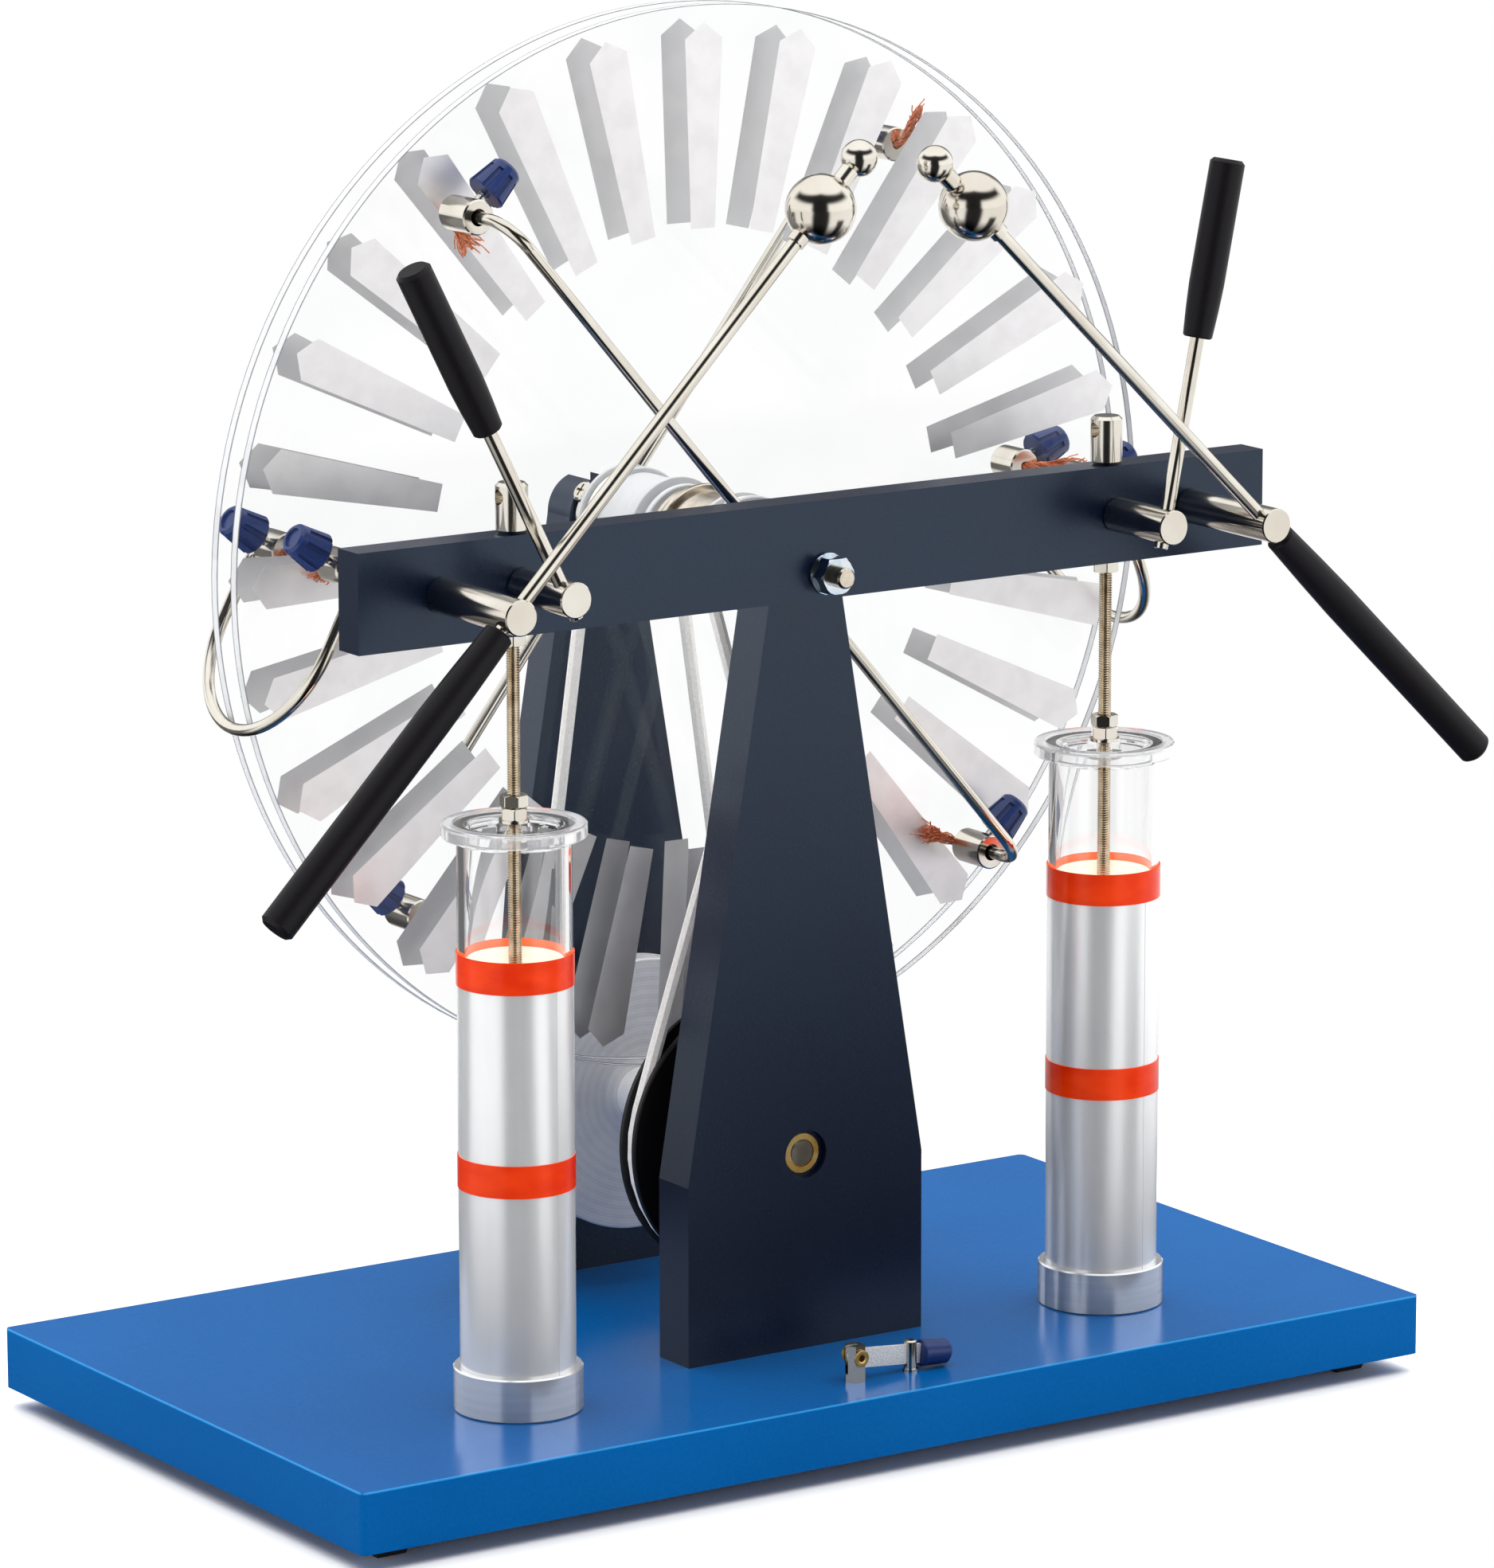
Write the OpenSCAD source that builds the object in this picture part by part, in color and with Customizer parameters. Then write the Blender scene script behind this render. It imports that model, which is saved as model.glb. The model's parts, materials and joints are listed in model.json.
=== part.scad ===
// Wimshurst machine: two contra-rotating discs on an upright frame, with spark
// electrodes, two storage jars, neutralising conductors and a belt drive.
// Frame: origin on the table under the centre of the base, +X to the right along
// the front edge, +Y to the back, +Z up. The spark posts are on the front, -Y, side.

/* [Base] */
// Length of the base board
base_l = 360; // [340:1:420]
// Depth of the base board
base_w = 200; // [196:1:240]
// Thickness of the base board
base_t = 17.5; // [14:0.5:24]
// Radius on the upright corners of the base board
base_corner_r = 2; // [1:0.5:6]
// Height of the rubber feet
foot_h = 5.5; // [3:0.5:12]
// Width of a foot where it meets the board
foot_w = 12.7; // [8:0.1:24]
// Taper of each side of a foot
foot_taper = 1.9; // [0.5:0.1:3]
// Distance from the board's edges to a foot
foot_inset = 10; // [4:1:40]

/* [Frame] */
// Height of the main axle above the board
axle_h = 226.2; // [215:1:260]
// Height of the drive shaft above the board
shaft_h = 56.8; // [54:0.5:70]
// Width of an upright at its foot
upright_w = 80; // [60:1:110]
// Height of the parallel foot of an upright
upright_foot_h = 52.5; // [30:1:80]
// Width of an upright below the axle
upright_top_w = 25.4; // [22:0.2:40]
// Thickness of the front upright
upright_t = 15; // [12:0.5:18]
// Thickness of the rear upright
rear_upright_t = 12; // [10:0.5:18]
// Distance of the front upright's front face ahead of the board's centre
front_upright_y = 46.4; // [45:0.2:60]
// Distance of the rear upright's front face behind the board's centre
rear_upright_y = 61; // [59:0.5:75]
// Length of the cross beam
beam_l = 304; // [290:1:380]
// Height of the cross beam
beam_h = 28; // [24:1:40]
// Thickness of the cross beam
beam_t = 10.4; // [9:0.2:14]
// Height of the beam's middle above the axle
beam_rise = 6.9; // [4:0.1:10]
// Diameter of the screws under the uprights
frame_screw_d = 5; // [3:0.5:7]
// Diameter of the dowels between the beam and its upright
dowel_d = 3; // [2:0.5:3]

/* [Axle and shaft] */
// Diameter of the main axle
axle_d = 8; // [6:0.5:9]
// Diameter of the axle's threaded ends
axle_thread_d = 6; // [4:0.5:6]
// Width of the axle nuts across the flats
axle_nut_af = 10; // [8:0.5:13]
// Thickness of the axle nuts
axle_nut_t = 5; // [3:0.5:6]
// Diameter of the axle washers
axle_washer_d = 12; // [11:0.5:18]
// Thickness of the axle washers
axle_washer_t = 1.2; // [0.8:0.1:2]
// Diameter of the drive shaft
shaft_d = 8; // [6:0.5:9]
// Outer diameter of the shaft bushes
bush_d = 12; // [11:0.5:13]
// Diameter of the counterbore round a bush
bush_recess_d = 14; // [13.5:0.5:18]
// Depth of a bush below the outer face of its upright
bush_recess = 2; // [1:0.5:4]

/* [Discs] */
// Diameter of the discs
disc_d = 306; // [290:1:312]
// Thickness of a disc
disc_t = 3.2; // [2:0.1:4]
// Distance between the middles of the two discs
disc_pitch = 10.6; // [9:0.2:13]
// Distance of the plane between the discs behind the board's centre
disc_y = 13.75; // [11:0.25:16]
// Number of foil sectors on a disc
sector_n = 28; // [16:2:32]
// Radius of the pointed outer end of a sector
sector_tip_r = 148; // [140:1:150]
// Radius of a sector's shoulders
sector_shoulder_r = 143.5; // [130:0.5:146]
// Half width of a sector at its shoulders
sector_shoulder_w = 6.26; // [4:0.1:7]
// Radius of the inner end of a sector
sector_inner_r = 89.6; // [70:1:110]
// Half width of a sector at its inner end
sector_inner_w = 4; // [2:0.1:5]
// Thickness of the foil
foil_t = 0.1; // [0.1:0.05:0.3]
// Angle by which the first sector stands off the vertical
sector_phase = 0.5; // [0:0.1:6]

/* [Hubs and belts] */
// Diameter of a hub's flange against its disc
hub_flange_d = 33; // [28:0.5:50]
// Thickness of a hub's flange
hub_flange_t = 2; // [1.5:0.5:4]
// Diameter of a hub's body
hub_d = 30; // [26:0.5:32]
// Thickness of the clamp ring on a disc's inner face
hub_nut_t = 2.2; // [1.5:0.1:2.4]
// Outer diameter of the small pulley on a hub
small_pulley_d = 33; // [32:0.5:44]
// Outer diameter of the large pulley on the drive shaft
big_pulley_d = 81; // [70:0.5:90]
// Width of the pulleys
pulley_w = 8.5; // [7:0.5:10]
// Diameter of the round belts
belt_d = 4; // [3:0.5:5]
// Depth of a belt's middle below the rim of its pulley
belt_sink = 2.5; // [1.5:0.25:3]
// Distance of the front pulleys ahead of the board's centre
front_belt_y = 15.25; // [14.5:0.25:15.5]
// Distance of the rear pulleys behind the board's centre
rear_belt_y = 45; // [44:0.25:46]

/* [Crank] */
// Distance from the drive shaft to the crank handle
crank_r = 46; // [36:0.5:46]
// Width of the crank arm
crank_w = 14; // [12:0.5:18]
// Thickness of the crank arm
crank_t = 6; // [4:0.5:8]
// Largest diameter of the crank handle
crank_handle_d = 16; // [14:0.5:18]
// Length of the crank handle
crank_handle_l = 43; // [30:1:60]

/* [Spark electrodes] */
// Distance from the middle to a spark post
spark_x = 126; // [122:1:138]
// Reach of a spark post ahead of the beam
spark_post_l = 41.2; // [38:0.5:60]
// Diameter of the posts
post_d = 10; // [8:0.5:12]
// Distance from a post's end to the rod through it
post_hole_in = 4.5; // [4:0.5:8]
// Diameter of the electrode and lever rods
rod_d = 4; // [3:0.5:5]
// Distance from a spark post to the large ball
ball_r = 142; // [130:1:150]
// Diameter of the large balls
big_ball_d = 19.5; // [14:0.5:24]
// Diameter of the small balls
small_ball_d = 10.3; // [6:0.1:12]
// Distance between the middles of a large and a small ball
ball_pitch = 18.1; // [17:0.1:24]
// Diameter of the necks next to the large ball
neck_d = 5.4; // [5.2:0.2:8]
// Length of the long handles
spark_handle_l = 101; // [60:1:120]
// Diameter of the handles
handle_d = 10; // [8:0.5:10.5]
// Diameter of a handle where the rod enters
handle_neck_d = 8.4; // [7:0.2:10]
// Diameter of the studs on which the electrodes turn
stud_d = 5; // [4:0.5:6]
// Distance of the left small ball from the middle
left_ball_x = 14.2; // [12:0.2:40]
// Distance of the right small ball from the middle
right_ball_x = 10.8; // [10:0.2:40]

/* [Jar levers] */
// Reach of a lever post ahead of the beam
lever_post_l = 27.5; // [24:0.5:32]
// Distance from the lever post to its handle
lever_rod_l = 54; // [40:1:70]
// Length of the short handles
lever_handle_l = 51; // [30:1:55]
// Stub of the lever rod below its post
lever_stub = 1.6; // [1:0.1:3]
// Outward lean of the left lever from the vertical
left_lever_lean = 27.2; // [0:0.1:40]
// Outward lean of the right lever from the vertical
right_lever_lean = 11.6; // [0:0.1:40]

/* [Terminals and jars] */
// Distance from the middle to a jar, its terminal and its lever post
jar_x = 100; // [92:1:104]
// Diameter of a terminal
terminal_d = 9.1; // [8:0.1:10.4]
// Height of a terminal above the beam
terminal_h = 13.9; // [11:0.1:20]
// Height of the plug hole above the beam
plug_h = 10; // [7:0.1:11]
// Diameter of the plug hole
plug_d = 4.2; // [4:0.1:4.4]
// Outer diameter of a jar
jar_d = 32; // [28:0.5:40]
// Wall of a jar
jar_wall = 2; // [1.5:0.1:3]
// Height of a jar's rim above the board
jar_h = 166.5; // [140:0.5:175]
// Diameter of a jar's rim and of its lid
jar_rim_d = 40.4; // [38:0.2:48]
// Thickness of a jar's rim
jar_rim_t = 4; // [3:0.5:6]
// Outer diameter of the cup that holds a jar
cup_d = 36.4; // [34:0.2:50]
// Height of the cup
cup_h = 12.4; // [8:0.2:20]
// Thickness of the cup's floor
cup_floor = 3; // [2:0.5:5]
// Height of the upper tape band's lower edge above the board
upper_band_h = 121.1; // [90:0.5:140]
// Height of the lower tape band's lower edge above the board
lower_band_h = 63.7; // [30:0.5:80]
// Width of the tape bands
band_w = 9.2; // [5:0.1:14]
// Diameter of the threaded jar rods
jar_rod_d = 4; // [3:0.5:4]
// Width of the jar rod's nuts across the flats
jar_nut_af = 7; // [6.5:0.5:8]
// Thickness of the jar rod's nuts
jar_nut_t = 3.2; // [2:0.1:4]

/* [Brush holders] */
// Diameter of a brush holder
holder_d = 10; // [9:0.5:12]
// Length of a neutraliser's brush holder
holder_l = 13.3; // [11:0.1:16]
// Length of a collector's brush holder
collector_holder_l = 11; // [10:0.1:14]
// Gap between a disc and the brush holders
holder_gap = 5.5; // [4:0.1:8]
// Bore of a brush holder for its rod
holder_bore = 4.9; // [4.3:0.1:5.5]
// Diameter of the bent conductor rods
wire_d = 3.5; // [3:0.1:4]
// Depth to which a rod goes into its holder
wire_depth = 9; // [7:0.5:10]
// Distance from the axle to a neutraliser's holders
neutral_r = 132.5; // [120:0.5:134]
// Distance by which the neutraliser rods pass beside the axle's middle
neutral_offset = 2.2; // [0:0.1:2.5]
// Bend radius of the neutraliser rods
neutral_bend = 10; // [6:0.5:12]
// Angle of the front neutraliser from +X
front_neutral_a = 131; // [115:1:140]
// Angle of the rear neutraliser from +X
rear_neutral_a = 52; // [40:1:65]
// Distance of the front neutraliser's rod ahead of the board's centre
front_rod_y = 27.8; // [25:0.1:28]
// Distance of the rear neutraliser's rod behind the board's centre
rear_rod_y = 53.6; // [53:0.1:56]
// Diameter of the neutraliser collars
collar_d = 20; // [18:0.5:28]
// Bend radius of a collector rod at its holder
collector_bend = 5.3; // [4:0.1:8]
// Distance from the holders to the lowest point of a collector rod
collector_drop = 52; // [48:0.5:60]
// Angle of the collector rods below the horizontal
collector_a = 62; // [55:1:70]
// Rise of the right collector's thumb knobs from the horizontal
right_knob_a = 20; // [0:1:40]
// Rise of the left collector's thumb knobs from the horizontal
left_knob_a = 32; // [0:1:40]

/* [Thumb knobs] */
// Diameter of a thumb knob at its screw end
knob_d = 11.8; // [9:0.1:12]
// Diameter of a thumb knob at its cap
knob_cap_d = 9; // [7:0.1:10]
// Length of a thumb knob
knob_l = 10.3; // [8:0.1:12]
// Length of bare screw between a holder and its knob
knob_gap = 3; // [1.5:0.1:4]
// Number of flutes round a thumb knob
knob_flutes = 8; // [6:1:10]
// Diameter of the clamp screws
clamp_screw_d = 3; // [2:0.5:3]

/* [Knife switch] */
// Distance of the switch ahead of the board's centre
switch_y = 82.7; // [80:0.5:86]
// Distance of the pivot post left of the middle
switch_post_x = 7.8; // [4:0.1:12]
// Distance from the pivot post to the clip
switch_span = 18.9; // [15:0.1:24]
// Width of the pivot post across the flats
switch_post_af = 5.5; // [5:0.1:7]
// Height of the pivot post
switch_post_h = 10.6; // [9.5:0.1:14]
// Height of the pivot above the board
switch_pivot_h = 7.2; // [6.6:0.1:8]
// Outer diameter of the tubular pivot
switch_pivot_d = 3; // [2.4:0.1:3.4]
// Diameter of the clip post
switch_clip_d = 3.6; // [3:0.1:5]
// Height of the clip post
switch_clip_h = 9; // [8:0.1:12]
// Height of the blade
blade_h = 5.6; // [4:0.1:6]
// Thickness of the blade
blade_t = 1; // [0.6:0.1:1.4]
// Slope of the blade at rest
blade_slope = 5; // [2:0.5:6]
// Diameter of the switch knob
switch_knob_d = 7.6; // [5:0.1:7.8]
// Length of the switch knob
switch_knob_l = 9.6; // [6:0.1:14]

/* [Hidden] */
$fn = 64;

// Clearances
run_gap = 0.05;     // radial play of a shaft in its bore
fit_gap = 0.02;     // radial play of parts that are pressed or screwed together
side_gap = 0.3;     // play between moving faces
slot_grip = 0.25;   // how much narrower than the axle its slot is, each side
belt_gap = 0.5;     // play between a belt and its groove
strand_gap = 0.4;   // play between the crossing strands of the front belt

// Heights and places that follow from the sizes above
top_z = foot_h + base_t;
axle_z = top_z + axle_h;
shaft_z = top_z + shaft_h;
beam_z = axle_z + beam_rise;
beam_top = beam_z + beam_h / 2;
beam_bottom = beam_z - beam_h / 2;
beam_back = -front_upright_y;
beam_front = beam_back - beam_t;
beam_mid = beam_back - beam_t / 2;
front_inner_y = beam_back + upright_t;
rear_outer_y = rear_upright_y + rear_upright_t;
upright_tip_r = axle_d / 2 + 7;
disc_face_w = disc_pitch / 2 + disc_t / 2;
front_pulley_w = disc_y + front_belt_y;
rear_pulley_w = rear_belt_y - disc_y;
front_collar_w = disc_y - front_inner_y;
rear_collar_w = rear_upright_y - disc_y;
jar_y = beam_mid;
screw_r = frame_screw_d / 2;
thread_r = axle_thread_d / 2;
clamp_r = clamp_screw_d / 2;
stud_r = stud_d / 2;

// Places and turns one child about a centre in the plane of the discs
module at_axle(side) {
  translate([0, disc_y, axle_z])
    mirror([0, side > 0 ? 1 : 0, 0])
      rotate([90, 0, 0])
        children();
}

// Lies a shape that stands along Z down along +Y
module along_y() {
  rotate([-90, 0, 0])
    children();
}

// A hexagonal prism, given across its flats
module hex(af, h) {
  cylinder(d = af / cos(30), h = h, $fn = 6);
}

// A nut with chamfered corners on a thread of radius r
module hex_nut(af, h, r) {
  difference() {
    intersection() {
      hex(af, h);
      soft_bar(af * 0.565, h, h * 0.1);
    }
    translate([0, 0, -1])
      cylinder(r = r + fit_gap, h = h + 2);
  }
}

// A round tube along Z
module tube(r_out, r_in, h) {
  difference() {
    cylinder(r = r_out, h = h);
    translate([0, 0, -1])
      cylinder(r = r_in, h = h + 2);
  }
}

// A ring with broken edges along Z
module soft_tube(r_out, r_in, h, edge) {
  rotate_extrude()
    polygon([[r_in, 0], [r_out - edge, 0], [r_out, edge], [r_out, h - edge],
      [r_out - edge, h], [r_in, h]]);
}

// A solid round bar with broken edges along Z
module soft_bar(r, h, edge) {
  rotate_extrude()
    polygon([[0, 0], [r - edge, 0], [r, edge], [r, h - edge], [r - edge, h], [0, h]]);
}

// Both mirror halves of what stands on the right
module both_sides() {
  children();
  mirror([1, 0, 0])
    children();
}

// Base

module base_board() {
  color("royalblue")
    difference() {
      translate([0, 0, foot_h])
        linear_extrude(base_t)
          difference() {
            square([base_l, base_w], center = true);
            for (sx = [-1, 1], sy = [-1, 1])
              translate([sx * base_l / 2, sy * base_w / 2])
                rotate(sx * sy > 0 ? (sx > 0 ? 0 : 180) : (sx > 0 ? -90 : 90))
                  corner_cut();
          }
      for (y = foot_screw_ys(), x = foot_screw_xs())
        translate([x, y, foot_h - 1]) {
          cylinder(r = screw_r + fit_gap, h = base_t + 2);
          cylinder(r = screw_r * 2, h = frame_screw_d + 1.5);
        }
    }
}

// The sliver that rounds one corner of the board, outward along +X and +Y
module corner_cut() {
  difference() {
    translate([-base_corner_r, -base_corner_r])
      square(base_corner_r + 1);
    translate([-base_corner_r, -base_corner_r])
      circle(base_corner_r);
  }
}

module rubber_feet() {
  half_top = foot_w / 2;
  half_low = half_top - foot_taper;
  color("dimgray")
    for (sx = [-1, 1], sy = [-1, 1])
      translate([sx * (base_l / 2 - foot_inset - half_top),
        sy * (base_w / 2 - foot_inset - half_top), 0])
        intersection() {
          foot_wedge(half_low, half_top);
          rotate(90)
            foot_wedge(half_low, half_top);
        }
}

// A wedge that tapers a foot in one direction
module foot_wedge(half_low, half_top) {
  rotate([90, 0, 0])
    linear_extrude(foot_w + 2, center = true)
      polygon([[-half_low, 0], [half_low, 0], [half_top, foot_h], [-half_top, foot_h]]);
}

// Frame

function foot_screw_xs() = [-upright_w / 4, upright_w / 4];
function foot_screw_ys() = [beam_back + upright_t / 2, rear_upright_y + rear_upright_t / 2];
function foot_screw_l() = base_t + 14;

module upright_outline() {
  polygon([[-upright_w / 2, top_z], [upright_w / 2, top_z],
    [upright_w / 2, top_z + upright_foot_h],
    [upright_top_w / 2, axle_z - upright_tip_r],
    [upright_tip_r, axle_z], [-upright_tip_r, axle_z],
    [-upright_top_w / 2, axle_z - upright_tip_r],
    [-upright_w / 2, top_z + upright_foot_h]]);
  translate([0, axle_z])
    circle(upright_tip_r);
}

// An upright of thickness t with its front face at y, drilled for the axle, the
// bush of the drive shaft and the screws under its foot
module drilled_upright(y, t) {
  difference() {
    translate([0, y + t, 0])
      rotate([90, 0, 0])
        linear_extrude(t)
          upright_outline();
    translate([0, y - 1, axle_z])
      along_y()
        cylinder(r = axle_d / 2 + fit_gap, h = t + 2);
    translate([0, y - 1, shaft_z])
      along_y()
        cylinder(r = bush_d / 2 + fit_gap, h = t + 2);
    for (x = foot_screw_xs())
      translate([x, y + t / 2, top_z - 1])
        cylinder(r = screw_r + fit_gap, h = foot_screw_l() - base_t + 6);
  }
}

// A cut round the drive shaft that leaves its bush recessed, open towards +Y
module bush_counterbore() {
  along_y()
    cylinder(r = bush_recess_d / 2, h = bush_recess + 1);
}

module front_upright() {
  color("darkslategray")
    difference() {
      drilled_upright(beam_back, upright_t);
      translate([0, beam_back - 1, shaft_z])
        bush_counterbore();
      at_dowels(dowel_l / 2 + 0.5)
        cylinder(r = dowel_d / 2 + fit_gap, h = dowel_l + 1);
    }
}

module rear_upright() {
  slot_w = axle_d - 2 * slot_grip;
  color("darkslategray")
    difference() {
      drilled_upright(rear_upright_y, rear_upright_t);
      translate([-slot_w / 2, rear_upright_y - 1, axle_z])
        cube([slot_w, rear_upright_t + 2, upright_tip_r + 2]);
      translate([0, rear_outer_y - bush_recess, shaft_z])
        bush_counterbore();
    }
}

// Two dowels beside the axle that keep the beam level on its upright
dowel_l = 12;
dowel_x = axle_d / 2 + 1.6 + dowel_d / 2;

// Places a shape on both dowels' axes, starting the given length ahead of the joint
module at_dowels(lead) {
  for (sx = [-1, 1])
    translate([sx * dowel_x, beam_back - lead, axle_z])
      along_y()
        children();
}

module frame_screws() {
  color("silver") {
    for (y = foot_screw_ys(), x = foot_screw_xs())
      translate([x, y, foot_h + 1]) {
        difference() {
          cylinder(r = screw_r * 1.7, h = frame_screw_d - 0.5);
          translate([0, 0, -0.5])
            hex(frame_screw_d * 0.8, 3);
        }
        translate([0, 0, frame_screw_d - 0.5])
          cylinder(r = screw_r, h = foot_screw_l() - frame_screw_d);
      }
    at_dowels(dowel_l / 2)
      soft_bar(dowel_d / 2, dowel_l, 0.3);
  }
}

module cross_beam() {
  color("darkslategray")
    difference() {
      translate([-beam_l / 2, beam_front, beam_bottom])
        cube([beam_l, beam_t, beam_h]);
      translate([0, beam_front - 1, axle_z])
        along_y()
          cylinder(r = thread_r + fit_gap, h = beam_t + 2);
      for (sx = [-1, 1]) {
        translate([sx * jar_x, jar_y, beam_bottom - 1])
          cylinder(r = jar_rod_d / 2 + fit_gap, h = beam_h + 2);
        translate([sx * jar_x, beam_front - 1, beam_z])
          along_y()
            cylinder(r = lever_stud_r() + run_gap, h = lever_stud_l() + 1.2);
        translate([sx * spark_x, beam_front - 1, beam_z])
          along_y()
            cylinder(r = stud_r + fit_gap, h = beam_t + 2);
      }
      at_dowels(dowel_l / 2 + 0.5)
        cylinder(r = dowel_d / 2 + fit_gap, h = dowel_l + 1);
    }
}

// Nuts that clamp the electrode studs to the back of the beam
module conductor_nuts() {
  color("lightsteelblue")
    both_sides()
      translate([spark_x, beam_back, beam_z])
        along_y()
          hex_nut(stud_d + 3, stud_d * 0.8, stud_r);
}

// Main axle and its fasteners

axle_shoulder_y = beam_back;
axle_front_y = beam_front - axle_washer_t - axle_nut_t - 4;
axle_rear_shoulder_y = rear_outer_y;
axle_rear_y = rear_outer_y + axle_washer_t + axle_nut_t + 2.5;

module main_axle() {
  color("silver") {
    translate([0, axle_front_y, axle_z])
      along_y()
        union() {
          soft_bar(thread_r, axle_shoulder_y - axle_front_y, 0.6);
          translate([0, 0, axle_shoulder_y - axle_front_y])
            cylinder(d = axle_d, h = axle_rear_shoulder_y - axle_shoulder_y);
          translate([0, 0, axle_rear_shoulder_y - axle_front_y])
            soft_bar(thread_r, axle_rear_y - axle_rear_shoulder_y, 0.6);
        }
  }
}

// A nut and its washer, with the washer's seat at the origin and the nut along -Y
module axle_nut_set() {
  rotate([90, 0, 0]) {
    soft_tube(axle_washer_d / 2, thread_r + fit_gap, axle_washer_t, 0.2);
    translate([0, 0, axle_washer_t])
      hex_nut(axle_nut_af, axle_nut_t, thread_r);
  }
}

module axle_nuts_and_washers() {
  color("lightsteelblue") {
    translate([0, beam_front, axle_z])
      axle_nut_set();
    translate([0, rear_outer_y, axle_z])
      mirror([0, 1, 0])
        axle_nut_set();
    for (side = [-1, 1])
      at_axle(side)
        translate([0, 0, side < 0 ? front_collar_w - collar_washer_t : rear_collar_w - collar_washer_t])
          tube(axle_washer_d / 2, axle_d / 2 + run_gap, collar_washer_t);
    translate([0, disc_y - disc_washer_t / 2, axle_z])
      along_y()
        tube(axle_washer_d / 2, axle_d / 2 + run_gap, disc_washer_t);
  }
}

collar_washer_t = 0.8;
disc_inner_w = disc_pitch / 2 - disc_t / 2;
disc_washer_t = 2 * (disc_inner_w - hub_nut_t - side_gap);

module shaft_bushes() {
  color("goldenrod") {
    translate([0, beam_back + bush_recess, shaft_z])
      along_y()
        soft_tube(bush_d / 2, shaft_d / 2 + run_gap, upright_t - bush_recess, 0.3);
    translate([0, rear_upright_y, shaft_z])
      along_y()
        soft_tube(bush_d / 2, shaft_d / 2 + run_gap, rear_upright_t - bush_recess, 0.3);
  }
}

// Belts

small_pitch_r = small_pulley_d / 2 - belt_sink;
big_pitch_r = big_pulley_d / 2 - belt_sink;
belt_span = axle_z - shaft_z;
belt_sides = 8;
arc_steps = 20;
strand_steps = 8;

// Points of an open belt round both pulleys, upper pulley first, in X and Z about the shaft
function open_belt_path() =
  let (a = asin((big_pitch_r - small_pitch_r) / belt_span))
  concat(
    [for (i = [0:arc_steps])
      let (t = a + i * (180 - 2 * a) / arc_steps)
      [small_pitch_r * cos(t), 0, belt_span + small_pitch_r * sin(t)]],
    strand([small_pitch_r * cos(180 - a), belt_span + small_pitch_r * sin(180 - a)],
      [big_pitch_r * cos(180 - a), big_pitch_r * sin(180 - a)], 0, 0.5),
    [for (i = [0:arc_steps])
      let (t = 180 - a + i * (180 + 2 * a) / arc_steps)
      [big_pitch_r * cos(t), 0, big_pitch_r * sin(t)]],
    strand([big_pitch_r * cos(a), big_pitch_r * sin(a)],
      [small_pitch_r * cos(a), belt_span + small_pitch_r * sin(a)], 0, 0.5));

// Points of a crossed belt; its strands pass each other with a gap where they cross
function crossed_belt_path() =
  let (a = asin((big_pitch_r + small_pitch_r) / belt_span))
  let (swing = (belt_d + strand_gap) / 2)
  let (c = small_pitch_r / (small_pitch_r + big_pitch_r))
  concat(
    [for (i = [0:arc_steps])
      let (t = -a + i * (180 + 2 * a) / arc_steps)
      [small_pitch_r * cos(t), 0, belt_span + small_pitch_r * sin(t)]],
    strand([small_pitch_r * cos(180 + a), belt_span + small_pitch_r * sin(180 + a)],
      [big_pitch_r * cos(a), big_pitch_r * sin(a)], swing, c),
    [for (i = [0:arc_steps])
      let (t = a - i * (180 + 2 * a) / arc_steps)
      [big_pitch_r * cos(t), 0, big_pitch_r * sin(t)]],
    strand([big_pitch_r * cos(180 - a), big_pitch_r * sin(180 - a)],
      [small_pitch_r * cos(-a), belt_span + small_pitch_r * sin(-a)], -swing, 1 - c));

// Points between two pulleys, bowed sideways by swing at the fraction c of the way
function strand(p, q, swing, c) =
  let (n = strand_steps)
  let (k = min(max(round(n * c), 2), n - 2))
  [for (i = [1:n - 1])
    let (t = i <= k ? c * i / k : c + (1 - c) * (i - k) / (n - k))
    let (g = i <= k ? i / k / 2 : 0.5 + (i - k) / (n - k) / 2)
    [p[0] + t * (q[0] - p[0]), swing * sin(180 * g) ^ 2, p[1] + t * (q[1] - p[1])]];

// A round tube swept along points; a closed path joins its last ring to its first
module sweep(path, r, sides, closed) {
  n = len(path);
  function dir(i) =
    let (a = path[closed ? (i + n - 1) % n : max(i - 1, 0)])
    let (b = path[closed ? (i + 1) % n : min(i + 1, n - 1)])
    (b - a) / norm(b - a);
  function side_of(d) =
    let (s = cross(d, [0.02, 1, 0.01]))
    s / norm(s);
  rings = [for (i = [0:n - 1])
    let (d = dir(i))
    let (u = side_of(d))
    let (v = cross(d, u))
    for (k = [0:sides - 1])
      let (t = 360 * k / sides)
      path[i] + (is_list(r) ? r[i] : r) * (cos(t) * u + sin(t) * v)];
  last = closed ? n - 1 : n - 2;
  walls = [for (i = [0:last], k = [0:sides - 1])
    let (j = (i + 1) % n)
    let (m = (k + 1) % sides)
    for (tri = [[i * sides + k, i * sides + m, j * sides + m],
      [i * sides + k, j * sides + m, j * sides + k]])
      [tri[0], tri[2], tri[1]]];
  caps = closed ? [] : concat(
    [for (k = [1:sides - 2]) [0, k, k + 1]],
    [for (k = [1:sides - 2]) [(n - 1) * sides, (n - 1) * sides + k + 1, (n - 1) * sides + k]]);
  polyhedron(rings, concat(walls, caps), convexity = 6);
}

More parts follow.
